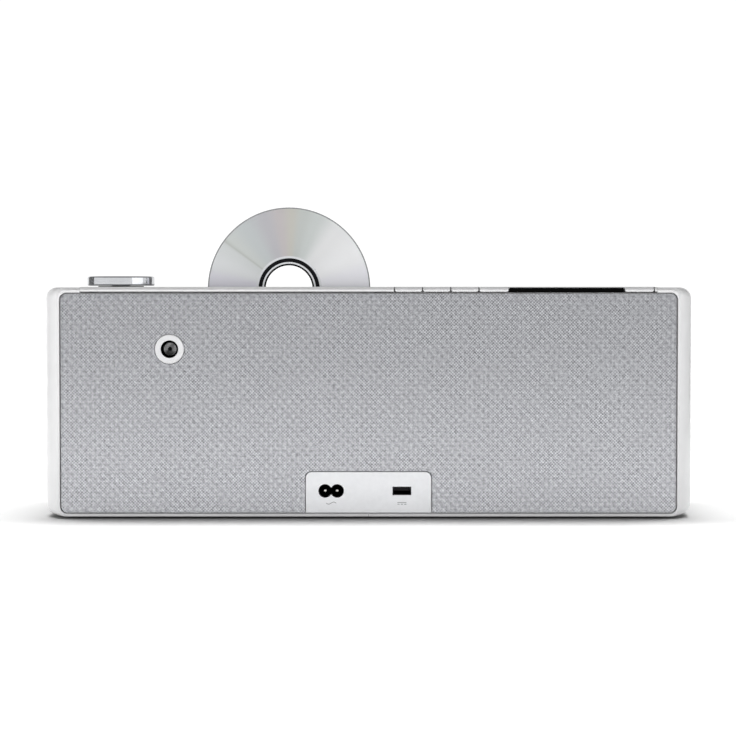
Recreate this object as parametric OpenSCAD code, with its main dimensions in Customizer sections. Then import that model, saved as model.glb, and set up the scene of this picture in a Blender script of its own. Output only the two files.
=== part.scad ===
// Table-top audio unit with an upright, top-loading disc slot.
// It stands on four pads. The cloth back with its sockets faces -Y, the cloth front faces +Y, +Z is up.
// The origin lies on the surface it stands on, under the middle of the casing.

/* [Casing] */
// Width over the rounded sides
case_w = 465.4; // [440:0.1:490]
// Height of the casing without its pads
case_h = 163.5; // [156:0.5:180]
// Depth from the back rim to the front rim
case_d = 150; // [144:1:170]
// Corner radius, seen from the back
case_corner_r = 8.5; // [8:0.5:13]
// Thickness of the floor wall
floor_t = 2; // [1.8:0.1:3]
// Thickness of the top wall
top_t = 3.7; // [3.5:0.1:4.4]
// Thickness of the side walls at mid-depth
side_t = 3.4; // [2.5:0.1:4.5]
// How far the sides swell out past the rims
flare_w = 11.3; // [6:0.1:12.5]
// Radius of the swell, seen from above
flare_r = 32; // [26:1:38]
// Width of the flat rim beside each cloth panel
rim_w = 1.2; // [0.8:0.1:2]
// Width of the butt seam under the casing
seam_w = 0.3; // [0.2:0.05:0.6]
// Depth of that seam
seam_depth = 1.6; // [1:0.1:1.7]

/* [Pads] */
// Height of a pad, which is the gap under the casing
pad_h = 1.6; // [1:0.1:4]
// Diameter of a pad
pad_d = 18; // [12:1:26]
// How far in from the casing's side a pad's centre lies
pad_inset_x = 41.7; // [28:0.1:60]
// How far in from the casing's rim a pad's centre lies
pad_inset_y = 24; // [18:1:34]

/* [Cloth panels] */
// Gap between a cloth edge and the rim
cloth_gap = 0.7; // [0.4:0.1:1]
// How far the cloth lies behind the rim
cloth_recess = 0.8; // [0.4:0.1:1.2]
// Thickness of the cloth with its glue
cloth_t = 0.8; // [0.5:0.1:1.2]
// Thickness of the panel that the cloth is stretched over
panel_t = 3; // [2.4:0.1:4]
// Corner radius of the cloth
cloth_corner_r = 4.5; // [3:0.1:6]
// Width of the flange that a panel seats on
flange_w = 3; // [2:0.1:4]
// Thickness of that flange
flange_t = 2; // [1.5:0.1:3]

/* [Socket plate] */
// Width of the socket plate
socket_plate_w = 89.6; // [80:0.1:100]
// Height of the socket plate
socket_plate_h = 29.2; // [26:0.1:36]
// Radius of its two upper corners
socket_plate_r = 4.3; // [3:0.1:6]
// Gap between the socket plate and the cloth
socket_plate_gap = 0.5; // [0.3:0.1:0.8]
// Where the mains inlet sits across the unit
mains_x = -26.7; // [-29:0.1:-20]
// Where the USB socket sits across the unit
usb_x = 23.8; // [18:0.1:32]
// Height of both sockets over the plate's lower edge
socket_rise = 15.6; // [13:0.1:18]
// Distance between the two mains pins
mains_pin_pitch = 8.6; // [8.4:0.1:8.8]
// Diameter of each lobe of the mains inlet
mains_lobe_d = 9.5; // [9.3:0.1:9.8]
// Height of the inlet's waist between its two lobes
mains_waist = 5; // [5:0.1:5.4]
// Wall of the inlet's rim in the plate
mains_rim_t = 0.4; // [0.3:0.05:0.4]
// Depth of the mains inlet
mains_depth = 12; // [10:0.5:14]

/* [Antenna socket] */
// How far in from the casing's side the antenna socket lies
antenna_inset = 90.9; // [75:0.1:100]
// How far the antenna socket lies below the top
antenna_drop = 44; // [38:0.1:60]
// Outer diameter of the white ring
antenna_ring_d = 20.8; // [18:0.1:24]
// Diameter of the well in the ring
antenna_well_d = 12.5; // [11:0.1:14]
// Depth of the well down to the barrel
antenna_well_depth = 6; // [5:0.1:7]
// Diameter of the barrel
antenna_barrel_d = 9.5; // [8:0.1:10]

/* [Top plate] */
// Width of the casing's top left beside the plate
plate_side = 27.2; // [24.5:0.1:28.5]
// How far the plate runs towards the front, from the middle
plate_front = 58; // [50:0.5:60]
// How far the plate stands proud of the casing
plate_proud = 0.4; // [0.2:0.1:0.8]
// Gap between the plate and its cut-out
plate_fit = 0.15; // [0.05:0.05:0.3]

/* [Keys] */
// How far the four keys reach from the glass
keys_reach = 82; // [80.5:0.1:82.5]
// Spacing of the keys
key_pitch = 20.05; // [19:0.05:20.2]
// Gap between two keys
key_gap = 0.9; // [0.6:0.05:1.2]
// Depth of a key, front to back
key_depth = 15.6; // [14:0.1:18]
// Thickness of a key's top
key_t = 1.6; // [1.2:0.1:1.8]
// Height of a key's back face
key_skirt = 3.5; // [3:0.1:3.5]
// Width of plate left beyond the last key
key_margin = 1.7; // [1.5:0.1:3]
// Travel of a key
key_travel = 0.6; // [0.4:0.05:0.6]

/* [Display] */
// How far in from the casing's side the glass starts
display_inset = 132.3; // [131:0.1:133]
// Width of the display glass
display_w = 81.1; // [78:0.1:82.5]
// Depth of the display glass, front to back
display_d = 50; // [44:0.5:56]
// Thickness of the glass
glass_t = 1.1; // [0.8:0.1:1.4]
// How far the glass lies below the keys
glass_drop = 0.7; // [0.4:0.1:0.9]

/* [Knob] */
// How far in from the casing's side the knob's axis lies
knob_inset = 51.2; // [51:0.1:60]
// Where the knob's axis lies, front to back
knob_y = -25; // [-34:0.5:0]
// Diameter of the knob
knob_d = 49.1; // [42:0.1:49.5]
// Height of the knob's grip
knob_h = 6.8; // [5.5:0.1:10]
// Radius of the knob's edges
knob_edge_r = 1; // [0.6:0.1:1.5]
// Gap under the knob
knob_gap = 0.8; // [0.7:0.05:1.2]
// Press travel of the knob
knob_travel = 0.5; // [0.3:0.05:0.6]
// Diameter of the dark collar under the knob
collar_d = 33.2; // [28:0.1:35]
// Diameter of the encoder's shaft
shaft_d = 6; // [5.5:0.1:6.5]

/* [Disc] */
// Diameter of the disc
disc_d = 120; // [119:0.5:121]
// Thickness of the disc
disc_t = 1.2; // [1.1:0.05:1.3]
// Diameter of the disc's hole
disc_hole_d = 15; // [14.8:0.1:15.2]
// Where the disc's middle lies across the unit
disc_x = -58.7; // [-62:0.1:-56]
// Where the disc's plane lies, front to back
disc_y = -13; // [-16:0.5:-8]
// How far the middle of the half-inserted disc lies below the plate's top
disc_sink = 1.5; // [0:0.1:2]
// Travel from half inserted to loaded
load_travel = 73; // [73:0.5:76]
// Spare length of the slot beyond the disc's diameter
slot_spare = 5; // [4:0.1:8]
// Width of the slot
slot_w = 6; // [5:0.1:7]
// Wall of the dark frame round the slot
slot_lip_t = 1; // [0.8:0.1:1.5]
// Gap between the disc and the felts
felt_gap = 0.3; // [0.2:0.05:0.5]

/* [Disc drive] */
// Thickness of the drive's sheet metal
sheet_t = 1.6; // [1.2:0.1:2]
// Gap between the disc's edge and the drive's side walls
drive_side_gap = 7; // [6:0.5:9]
// Radius of the feed roller's rubber
roller_r = 4; // [3.5:0.1:4.2]
// How far the roller's axis lies under the top plate
roller_drop = 8.8; // [8:0.1:10]
// Radius of the belt's seat on the roller pulley
roller_pulley_r = 6; // [5:0.1:7]
// Radius of the belt's seat on the motor pulley
motor_pulley_r = 2.5; // [2:0.1:3]
// Distance between the two pulleys
belt_reach = 34; // [30:0.5:44]
// Radius of the turntable
turntable_r = 11; // [10:0.1:11.5]
// How far the drive unit draws back from the disc
traverse_travel = 3.2; // [3:0.1:3.6]
// Radius on the disc where the lens starts
lens_start = 24; // [24:0.5:25]
// Travel of the lens sled
sled_travel = 33.5; // [30:0.5:33.5]

/* [Speakers] */
// How far in from the casing's side a speaker's axis lies
speaker_inset = 67.7; // [59:0.1:74]
// Radius of a speaker's frame
speaker_r = 45; // [42:0.5:47]
// Radius of a cone
cone_r = 33; // [30:0.5:34]
// Depth of a cone
cone_depth = 16; // [14:0.5:18]
// Radius of a magnet
magnet_r = 27; // [24:0.5:30]
// Travel of a cone to either side
cone_travel = 1.5; // [1:0.1:2]

/* [Boards] */
// Thickness of the circuit boards
board_t = 1.6; // [1.2:0.1:2]
// Width of the power board
power_w = 100; // [90:1:110]
// Depth of the power board
power_d = 70; // [60:1:76]
// Height of the power board over the floor
power_rise = 6; // [5:0.5:9]
// Width of the main board
main_w = 110; // [100:1:120]
// Height of the main board
main_h = 66; // [60:1:72]
// Gap between the main board and the back panel
main_gap = 16; // [12:0.5:18]

/* [Hidden] */
$fn = 64;
eps = 0.01;
half_w = case_w / 2;
antenna_x = antenna_inset - half_w;
plate_w = case_w - 2 * plate_side;
display_x = half_w - display_inset;
keys_x = display_x - keys_reach;
knob_x = knob_inset - half_w;
speaker_x = half_w - speaker_inset;
through = 1; // how far a cut runs past the face it opens

// Casing levels
z_floor = pad_h;
z_roof = z_floor + case_h;
z_plate = z_roof + plate_proud;
z_in_lo = z_floor + floor_t;
z_in_hi = z_roof - top_t;
in_h = z_in_hi - z_in_lo;
in_z = (z_in_hi + z_in_lo) / 2;
y_back = -case_d / 2;
y_front = case_d / 2;
open_w = case_w - 2 * (flare_w + rim_w);
open_r = cloth_corner_r + cloth_gap;
flare_d = sqrt(pow(flare_r, 2) - pow(flare_r - flare_w, 2));
wide_d = case_d - 2 * (flare_d + 1);
seat_d = cloth_recess + cloth_t + panel_t; // from a rim to the flange
flange_back = seat_d + flange_t;
seam_strip_w = 14;
ledge_w = 5;
ledge_t = 1.6;

// Cloth panels
cloth_w = open_w - 2 * cloth_gap;
cloth_h = in_h - 2 * cloth_gap;
cloth_lo = in_z - cloth_h / 2;
panel_w = cloth_w - 2 * cloth_t;
panel_h = cloth_h - 2 * cloth_t;
y_cloth = y_back + cloth_recess;
y_panel = y_cloth + cloth_t;
y_panel_in = y_back + seat_d;

// Sockets
socket_z = cloth_lo + socket_rise;
mains_wall = 2;
mains_fit = 0.1;
mains_pin_r = 1.2;
mains_pin_drop = 2.5;
usb_drop = 1;
usb_w = 13.1;
usb_h = 5.8;
usb_wall = 0.35;
usb_depth = 14;
usb_fit = 0.15;
usb_tongue_t = 1.9;
antenna_z = z_roof - antenna_drop;
antenna_face = y_cloth - 0.3;
antenna_fit = 0.2;
antenna_flange = 3;
y_barrel = antenna_face + antenna_well_depth;
barrel_l = 10;

// Top plate, keys and display
key_count = 4;
y_key_front = y_back + key_depth;
key_skirt_side = 2.2;
key_wall = 1.2;
row_end = plate_w / 2 - key_margin;
end_key_x = display_x + display_w + key_gap;
end_key_w = row_end - key_gap - end_key_x;
bezel_lip = 3;
bezel_lip_t = 1.2;
z_glass = z_plate - glass_drop;
lcd_margin = 4;
lcd_t = 3;
control_drop = 4.4; // from the top wall's underside to the control board
z_control = z_in_hi - control_drop;
y_control = y_back + flange_back + 0.3;
control_d = 22;
key_pin_r = 1;
key_pin_fit = 0.1;
key_pin_y = y_control + 6;
switch_w = 5;
switch_h = 2.5;
plunger_r = 1.2;
plunger_h = 0.6;
z_plunger = z_control + switch_h + plunger_h;
boss_r = 3;
boss_y = y_control + 18.5;

// Knob
knob_r = knob_d / 2;
collar_r = collar_d / 2;
collar_h = 0.6;
collar_hole_r = 8;
z_knob = z_plate + knob_gap;
knob_skin = 1.6;
knob_face_t = 0.8;
knob_face_edge = 2;
face_fit = 0.05;
shaft_r = shaft_d / 2;
shaft_fit = 0.05;
bush_r = 4.5;
encoder_w = 13;
encoder_h = 7;
nut_r = 6.5;
nut_h = 1.8;
encoder_floor = 1.5;

// Disc and drive
disc_r = disc_d / 2;
disc_hole_r = disc_hole_d / 2;
z_disc = z_plate - disc_sink;
z_load = z_disc - load_travel;
slot_l = disc_d + slot_spare;
felt_h = 2.6;
felt_drop = 0.6;
disc_half = disc_t / 2;
drive_in = disc_r + drive_side_gap; // half the width between the drive's side walls
drive_out = drive_in + sheet_t;
y_drive_front = disc_y + 2.5 * roller_r;
z_drive_lo = z_in_lo + 3;
z_drive_hi = z_in_hi - 3.4;
z_roller = z_plate - roller_drop - 3.2;
y_roller = disc_y + disc_half + 0.25 + roller_r;
roller_shaft_r = 1.5;
bearing_fit = 0.05;
pulley_x = disc_x + drive_out + 1;
pulley_w = 4;
belt_w = 1.8;
belt_t = 1.2;
belt_fit = 0.15;
pulley_flange = 1.6;
z_motor = z_roller - belt_reach;
loading_motor_r = 8;
loading_motor_l = 22;
damper_r = 5;
damper_in = 23;
damper_h = z_drive_lo - z_in_lo;

// Drive unit that draws back from the disc, at rest drawn back
y_table = disc_y - disc_half - 0.05 - traverse_travel;
table_t = 2.5;
hub_h = 1.8;
hub_fit = 0.2;
spindle_r = 1;
motor_r = 12;
motor_t = 7;
motor_gap = 0.75;
y_motor = y_table - table_t - motor_gap;
y_traverse = y_motor - motor_t;
deck_room = 5.9; // between the deck and the plate when it is drawn back
y_deck = y_traverse - deck_room - sheet_t;
traverse_hi = 28;
traverse_lo = 35;
traverse_half = drive_in - 1.5;
post_r = 2;
post_fit = 0.1;
post_in = 4;
post_reach = 6;
rod_r = 1.5;
rod_z = 15.5;
rod_y = y_motor - 3.1;
rod_near = 8; // how far the rods run past the spindle
rod_far = traverse_half - 0.5;
rod_fit = 0.05;
bracket_t = 2;
sled_near = 9.5; // from the lens back to the sled's inner end
sled_far = 4.5;
sled_t = 6.6;
sled_h = 2 * rod_z + 8;
lens_r = 3.5;
lens_h = 1;
y_sled = y_motor + 0.6;
screw_r = 1.6;
screw_fit = 0.1;
screw_z = rod_z + 8.5;
nut_arm = 5;
sled_motor_r = 3.8;
sled_motor_l = 14;

// Clamper
clamp_gap = 0.3;
clamp_drop = 40;
clamper_r = 14;
clamper_t = 3;
clamper_neck_r = 8;
clamper_neck = 2.1;
clamper_cap_r = 11;
clamper_cap_t = 1.4;
clamper_fit = 0.4;
y_clamp = disc_y + disc_half + clamp_gap;
clamp_plate_t = clamper_neck - 2 * clamper_fit;
y_clamp_plate = y_clamp + clamper_t + clamper_fit;

// Speakers
speaker_z = in_z;
y_baffle_in = y_front - seat_d;
frame_t = 2.5;
basket_wall = 1.5;
surround_w = 4.6;
surround_t = 0.8;
surround_fit = 0.2;
surround_seat = 0.03;
cone_t = 0.8;
coil_r = 13;
coil_t = 0.5;
coil_gap = 0.8;
coil_l = 12;
basket_depth = cone_depth + 8;
magnet_t = 14;
cap_h = 4;

// Boards
board_room = 7.5; // between the loading motor and the power board
power_x = pulley_x + pulley_w + 1.5 + loading_motor_l + board_room;
power_y = y_back + flange_back + 19.4;
z_power = z_in_lo + power_rise;
main_x = disc_x + drive_out + 20.1;
main_rise = 3.8; // from the socket plate's top to the main board
main_z = cloth_lo + socket_plate_h + main_rise + main_h / 2;
standoff_r = 3;
standoff_in = 5;
transformer = [32, 26, 22];
capacitor_r = 9;
capacitor_h = 26;
small_cap_r = 5;
small_cap_h = 16;
sink = [3, 36, 24];
tuner = [38, 4, 32];
amplifier = [28, 12, 30];
plug_w = 26;
plug_h = 5;
plug_d = 5;
ribbon_w = 22;
ribbon_t = 0.5;

// ---- Helpers -------------------------------------------------------------

// A rectangle with round corners, centred on the origin
module rounded_rect(w, h, r) {
    square([w - 2 * r, h], center = true);
    square([w, h - 2 * r], center = true);
    for (sx = [-1, 1], sy = [-1, 1])
        translate([sx * (w / 2 - r), sy * (h / 2 - r)]) circle(r);
}

// Extrudes a shape drawn in X and Z from y0 to y1
module upright(y0, y1) {
    translate([0, y1, 0]) rotate([90, 0, 0]) linear_extrude(y1 - y0) children();
}

// Extrudes a shape drawn in Y and Z from x0 to x1
module across(x0, x1) {
    translate([x0, 0, 0]) rotate([90, 0, 90]) linear_extrude(x1 - x0) children();
}

// A box from one corner to the opposite one
module block(low, high) {
    translate(low) cube(high - low);
}

// A cylinder along Y from y0 to y1
module rod_y(x, z, r, y0, y1) {
    translate([x, y1, z]) rotate([90, 0, 0]) cylinder(r = r, h = y1 - y0);
}

// A cylinder along X from x0 to x1
module rod_x(y, z, r, x0, x1) {
    translate([x0, y, z]) rotate([0, 90, 0]) cylinder(r = r, h = x1 - x0);
}

// A cylinder along Z from z0 to z1
module rod_z(x, y, r, z0, z1) {
    translate([x, y, z0]) cylinder(r = r, h = z1 - z0);
}

// A slot with round ends, centred on the origin and running along X
module stadium(l, w) {
    square([l - w, w], center = true);
    for (s = [-1, 1]) translate([s * (l - w) / 2, 0]) circle(w / 2);
}

// ---- Casing --------------------------------------------------------------

// The casing's outline from above, with its sides swelling past the rims
module plan_outline() {
    intersection() {
        square([case_w, case_d], center = true);
        union() {
            square([case_w - 2 * flare_r, case_d], center = true);
            square([case_w, case_d - 2 * flare_d], center = true);
            for (sx = [-1, 1], sy = [-1, 1])
                translate([sx * (case_w / 2 - flare_r), sy * (case_d / 2 - flare_d)])
                    circle(flare_r, $fn = 128);
        }
    }
}

// An opening of the casing from y0 to y1, drawn in by inset on each side
module casing_opening(y0, y1, w = open_w, inset = 0) {
    upright(y0, y1) translate([0, in_z]) rounded_rect(w - 2 * inset, in_h - 2 * inset, open_r);
}

module casing() {
    color("gainsboro") {
        difference() {
            intersection() {
                upright(y_back, y_front)
                    translate([0, z_floor + case_h / 2]) rounded_rect(case_w, case_h, case_corner_r);
                translate([0, 0, z_floor]) linear_extrude(case_h) plan_outline();
            }
            casing_opening(y_back - through, y_back + seat_d);
            casing_opening(y_front - seat_d, y_front + through);
            casing_opening(y_back, y_front, inset = flange_w);
            casing_opening(y_back + flange_back, y_front - flange_back);
            casing_opening(-wide_d / 2, wide_d / 2, w = case_w - 2 * side_t);
            block([-plate_w / 2, y_back - through, z_in_hi], [plate_w / 2, plate_front, z_roof + through]);
            block([-seam_w / 2, y_back - through, z_floor - through],
                  [seam_w / 2, y_front + through, z_floor + seam_depth]);
        }
        for (s = [-1, 1])
            translate([s * plate_w / 2, 0, 0])
                block([-ledge_w, y_back + flange_back, z_in_hi - ledge_t],
                      [ledge_w, plate_front + ledge_w, z_in_hi]);
        block([-plate_w / 2, plate_front - ledge_w, z_in_hi - ledge_t],
              [plate_w / 2, plate_front + ledge_w, z_in_hi]);
    }
}

module pads() {
    color("dimgray")
        for (sx = [-1, 1], sy = [-1, 1])
            rod_z(sx * (case_w / 2 - pad_inset_x), sy * (case_d / 2 - pad_inset_y), pad_d / 2, 0, z_floor);
}

// The strip riveted over the seam inside the casing
module seam_plate() {
    color("silver")
        block([-seam_strip_w / 2, y_back + flange_back + 1, z_in_lo],
              [seam_strip_w / 2, y_front - flange_back - 1, z_in_lo + 1.2]);
}

// ---- Top plate, slot, keys and display -----------------------------------

module slot_outline(grow) {
    translate([disc_x, disc_y]) stadium(slot_l + 2 * grow, slot_w + 2 * grow);
}

// Where the control board hangs from the top plate
boss_x = [keys_x - 6, keys_x + 1.5 * key_pitch, display_x - 8, end_key_x + end_key_w / 2 + 2];

module top_plate() {
    edge = plate_w / 2 - plate_fit;
    color("whitesmoke")
        difference() {
            union() {
                block([-edge, y_back, z_in_hi], [edge, plate_front - plate_fit, z_plate]);
                for (x = boss_x) rod_z(x, boss_y, boss_r, z_control, z_in_hi + eps);
            }
            translate([0, 0, z_in_hi - through]) linear_extrude(top_t + plate_proud + 2 * through)
                slot_outline(slot_lip_t);
            block([keys_x - key_gap / 2, y_back - through, z_in_hi - eps],
                  [row_end, y_key_front + key_gap / 2, z_plate + through]);
            block([display_x - plate_fit, y_back - through, z_in_hi - eps],
                  [display_x + display_w + plate_fit, y_back + display_d + plate_fit, z_plate + through]);
            rod_z(knob_x, knob_y, bush_r + 0.1, z_in_hi - through, z_plate + through);
        }
}

module slot_lip() {
    color("dimgray") translate([0, 0, z_in_hi - 2]) linear_extrude(z_plate - z_in_hi + 2)
        difference() {
            slot_outline(slot_lip_t);
            slot_outline(0);
        }
}

module dust_felts() {
    half = (slot_l - slot_w) / 2;
    color([0.12, 0.12, 0.13])
        for (s = [-1, 1])
            translate([disc_x, disc_y, 0]) mirror([0, s < 0 ? 1 : 0, 0])
                block([-half, disc_half + felt_gap, z_plate - felt_drop - felt_h],
                      [half, slot_w / 2, z_plate - felt_drop]);
}

// A key with two guide pins and a post over its switch
module key(i) {
    x = key_left(i);
    w = key_width(i);
    middle = key_middle(i);
    z_top_under = z_plate - key_t;
    color("whitesmoke") {
        difference() {
            block([x, y_back, z_plate - key_skirt_side], [x + w, y_key_front - key_gap / 2, z_plate]);
            block([x + key_wall, y_back + key_wall, z_plate - key_skirt_side - through],
                  [x + w - key_wall, y_key_front - key_gap / 2 - key_wall, z_top_under]);
        }
        block([x, y_back, z_plate - key_skirt], [x + w, y_back + key_wall, z_plate - key_t]);
        for (s = [-1, 1])
            rod_z(middle + s * w / 4, key_pin_y, key_pin_r, z_control - board_t - key_travel, z_top_under + eps);
        rod_z(middle, key_pin_y, key_pin_r + 0.4, z_plunger + key_travel + 0.05, z_top_under + eps);
    }
}

function key_left(i) = i < key_count ? keys_x + i * key_pitch + key_gap / 2 : end_key_x;
function key_right(i) = i == key_count ? end_key_x + end_key_w
                        : i == key_count - 1 ? display_x - key_gap
                        : keys_x + (i + 1) * key_pitch - key_gap / 2;
function key_middle(i) = (key_left(i) + key_right(i)) / 2;
function key_width(i) = key_right(i) - key_left(i);

module control_board() {
    color("darkgreen")
        difference() {
            block([keys_x - 12, y_control, z_control - board_t],
                  [plate_w / 2 - ledge_w - 0.5, y_control + control_d, z_control]);
            for (i = [0:key_count], s = [-1, 1])
                rod_z(key_middle(i) + s * key_width(i) / 4, key_pin_y, key_pin_r + key_pin_fit,
                      z_control - board_t - through, z_control + through);
        }
}

module key_switches() {
    color("black")
        for (i = [0:key_count])
            translate([key_middle(i), key_pin_y, 0]) {
                block([-switch_w / 2, -switch_w / 2, z_control], [switch_w / 2, switch_w / 2, z_control + switch_h]);
                rod_z(0, 0, plunger_r, z_control + switch_h - eps, z_plunger);
            }
}

module display_bezel() {
    y_lcd = y_back + flange_back + 0.6;
    color([0.05, 0.05, 0.06])
        difference() {
            union() {
                block([display_x, y_back, z_in_hi], [display_x + display_w, y_back + display_d, z_glass - glass_t]);
                block([display_x - bezel_lip, y_key_front + 2, z_in_hi - bezel_lip_t],
                      [display_x + display_w + bezel_lip, y_back + display_d + bezel_lip, z_in_hi]);
            }
            block([display_x + lcd_margin, y_lcd, z_in_hi - bezel_lip_t - through],
                  [display_x + display_w - lcd_margin, y_back + display_d - lcd_margin, z_glass]);
        }
}

module display_glass() {
    color([0.02, 0.02, 0.03])
        block([display_x, y_back, z_glass - glass_t], [display_x + display_w, y_back + display_d, z_glass]);
}

module lcd_panel() {
    color([0.1, 0.1, 0.13])
        block([display_x + lcd_margin, y_back + flange_back + 0.6, z_glass - glass_t - lcd_t],
              [display_x + display_w - lcd_margin, y_back + display_d - lcd_margin, z_glass - glass_t]);
}

// ---- Knob ----------------------------------------------------------------

module knob_collar() {
    color([0.15, 0.15, 0.16]) translate([knob_x, knob_y, z_plate])
        difference() {
            cylinder(r = collar_r, h = collar_h);
            translate([0, 0, -through]) cylinder(r = collar_hole_r, h = collar_h + 2 * through);
        }
}

module encoder_body() {
    color("silver") translate([knob_x, knob_y, 0])
        difference() {
            union() {
                block([-encoder_w / 2, -encoder_w / 2, z_in_hi - encoder_h], [encoder_w / 2, encoder_w / 2, z_in_hi]);
                cylinder(r = bush_r, h = z_plate + nut_h);
                translate([0, 0, z_plate]) cylinder(r = nut_r, h = nut_h - 0.4, $fn = 6);
            }
            translate([0, 0, -through]) cylinder(r = bush_r + 1, h = z_in_hi - encoder_h + through);
            translate([0, 0, z_in_hi - encoder_h + encoder_floor]) cylinder(r = shaft_r + shaft_fit, h = 40);
        }
}

module encoder_shaft() {
    color("gray")
        rod_z(knob_x, knob_y, shaft_r, z_in_hi - encoder_h + encoder_floor + knob_travel + 0.1,
              z_knob + knob_h - knob_face_t - 2);
}

// The grip: a cup with round edges, a hub on the shaft and a shallow seat for the face
module knob_ring() {
    hub_r = shaft_r + 2;
    roof = knob_h - knob_face_t;
    color("silver") translate([knob_x, knob_y, z_knob])
        rotate_extrude($fn = 128) {
            difference() {
                union() {
                    square([knob_r - knob_edge_r, knob_h]);
                    translate([0, knob_edge_r]) square([knob_r, knob_h - 2 * knob_edge_r]);
                    for (z = [knob_edge_r, knob_h - knob_edge_r])
                        translate([knob_r - knob_edge_r, z]) circle(knob_edge_r);
                }
                translate([-through, roof]) square([knob_r - knob_face_edge + through, knob_face_t + through]);
                translate([hub_r, -through]) square([collar_r + 1 - hub_r, roof - knob_skin + through]);
                translate([-through, -through]) square([hub_r + through + eps, nut_h + 0.4 + through]);
                translate([-through, 0]) square([shaft_r + shaft_fit + through, roof - knob_skin + 0.2]);
                translate([-knob_r, -through]) square([knob_r, knob_h + 2 * through]);
            }
        }
}

module knob_face() {
    color("lightgray") translate([knob_x, knob_y, z_knob + knob_h - knob_face_t])
        cylinder(r = knob_r - knob_face_edge - face_fit, h = knob_face_t, $fn = 128);
}

// ---- Disc ----------------------------------------------------------------

module disc() {
    color("lightsteelblue")
        difference() {
            rod_y(disc_x, z_disc, disc_r, disc_y - disc_half, disc_y + disc_half);
            rod_y(disc_x, z_disc, disc_hole_r, disc_y - disc_half - through, disc_y + disc_half + through);
        }
}

// ---- Disc drive, fixed pieces ----------------------------------------------

// Deck behind the disc, two side walls with the roller's bearings, a floor flange and the guide posts
module drive_frame() {
    color("lightgray")
        translate([disc_x, 0, 0])
            difference() {
                union() {
                    block([-drive_out, y_deck, z_drive_lo], [drive_out, y_deck + sheet_t, z_drive_hi]);
                    for (s = [-1, 1])
                        translate([s * (drive_in + sheet_t / 2), 0, 0])
                            block([-sheet_t / 2, y_deck, z_drive_lo], [sheet_t / 2, y_drive_front, z_drive_hi]);
                    block([-drive_out, y_deck, z_drive_lo], [drive_out, y_drive_front, z_drive_lo + sheet_t]);
                    for (sx = [-1, 1], z = [z_load + traverse_hi - post_in, z_load - traverse_lo + post_in])
                        rod_y(sx * (traverse_half - post_in), z, post_r, y_deck, y_traverse + post_reach);
                }
                rod_x(y_roller, z_roller, roller_shaft_r + bearing_fit, -drive_out - through, drive_out + through);
            }
}

module drive_dampers() {
    color([0.1, 0.1, 0.1])
        for (sx = [-1, 1], y = [y_deck + damper_r + 0.5, y_drive_front - damper_r - 0.5])
            rod_z(disc_x + sx * (drive_in - damper_in), y, damper_r, z_in_lo, z_drive_lo);
}

// The plate that carries the clamper, let in between the drive's side walls
module clamp_plate() {
    color("lightgray")
        difference() {
            block([disc_x - drive_in, y_clamp_plate, z_load - clamp_drop],
                  [disc_x + drive_in, y_clamp_plate + clamp_plate_t, z_roller - roller_r - 2]);
            rod_y(disc_x, z_load, clamper_neck_r + clamper_fit, y_clamp_plate - through, y_clamp_plate + 5);
        }
}

module clamper() {
    neck_0 = y_clamp + clamper_t;
    color("dimgray")
        difference() {
            union() {
                rod_y(disc_x, z_load, clamper_r, y_clamp, neck_0);
                rod_y(disc_x, z_load, clamper_neck_r, neck_0 - eps, neck_0 + clamper_neck + eps);
                rod_y(disc_x, z_load, clamper_cap_r, neck_0 + clamper_neck,
                      neck_0 + clamper_neck + clamper_cap_t);
            }
            rod_y(disc_x, z_load, disc_hole_r + 0.5, y_clamp - through, y_clamp + 1.2);
        }
}

// The felt-lined strip opposite the roller
module disc_guide() {
    y_face = disc_y - disc_half - felt_gap;
    color([0.15, 0.15, 0.16]) {
        block([disc_x - drive_in, y_face - 2, z_roller - 4], [disc_x + drive_in, y_face, z_roller + 4]);
        block([disc_x - drive_in, y_deck + sheet_t, z_roller - 1], [disc_x + drive_in, y_face - 2 + eps, z_roller + 1]);
    }
}

// ---- Disc drive, feed ------------------------------------------------------

// A grooved pulley on the X axis
module pulley(x, y, z, r, bore_r) {
    rim = (pulley_w - belt_w - 0.6) / 2;
    translate([x, y, z]) rotate([0, 90, 0])
        difference() {
            union() {
                cylinder(r = r, h = pulley_w);
                for (h = [0, pulley_w - rim]) translate([0, 0, h]) cylinder(r = r + pulley_flange, h = rim);
            }
            if (bore_r > 0) translate([0, 0, -through]) cylinder(r = bore_r, h = pulley_w + 2 * through);
        }
}

module roller_shaft() {
    color("silver") {
        rod_x(y_roller, z_roller, roller_shaft_r, disc_x - drive_out - 0.5, pulley_x + pulley_w);
        pulley(pulley_x, y_roller, z_roller, roller_pulley_r, 0);
    }
}

module roller_rubber() {
    color([0.1, 0.1, 0.1])
        for (s = [-1, 1])
            translate([disc_x + s * (disc_r / 2 + 2), 0, 0])
                difference() {
                    rod_x(y_roller, z_roller, roller_r, -disc_r / 2 + 4, disc_r / 2 - 4);
                    rod_x(y_roller, z_roller, roller_shaft_r, -disc_r, disc_r);
                }
}

function arc(r, z, a0, a1, n) = [for (i = [0:n]) let(a = a0 + (a1 - a0) * i / n) [r * cos(a), z + r * sin(a)]];

// The outline of a belt round both pulleys, with its surface this far off their seats
module belt_outline(off) {
    lean = asin((roller_pulley_r - motor_pulley_r) / belt_reach);
    translate([y_roller, z_roller])
        polygon(concat(arc(roller_pulley_r + off, 0, -lean, 180 + lean, 32),
                       arc(motor_pulley_r + off, -belt_reach, 180 + lean, 360 - lean, 24)));
}

module drive_belt() {
    color([0.08, 0.08, 0.08])
        across(pulley_x + (pulley_w - belt_w) / 2, pulley_x + (pulley_w + belt_w) / 2)
            difference() {
                belt_outline(belt_fit + belt_t);
                belt_outline(belt_fit);
            }
}

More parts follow.
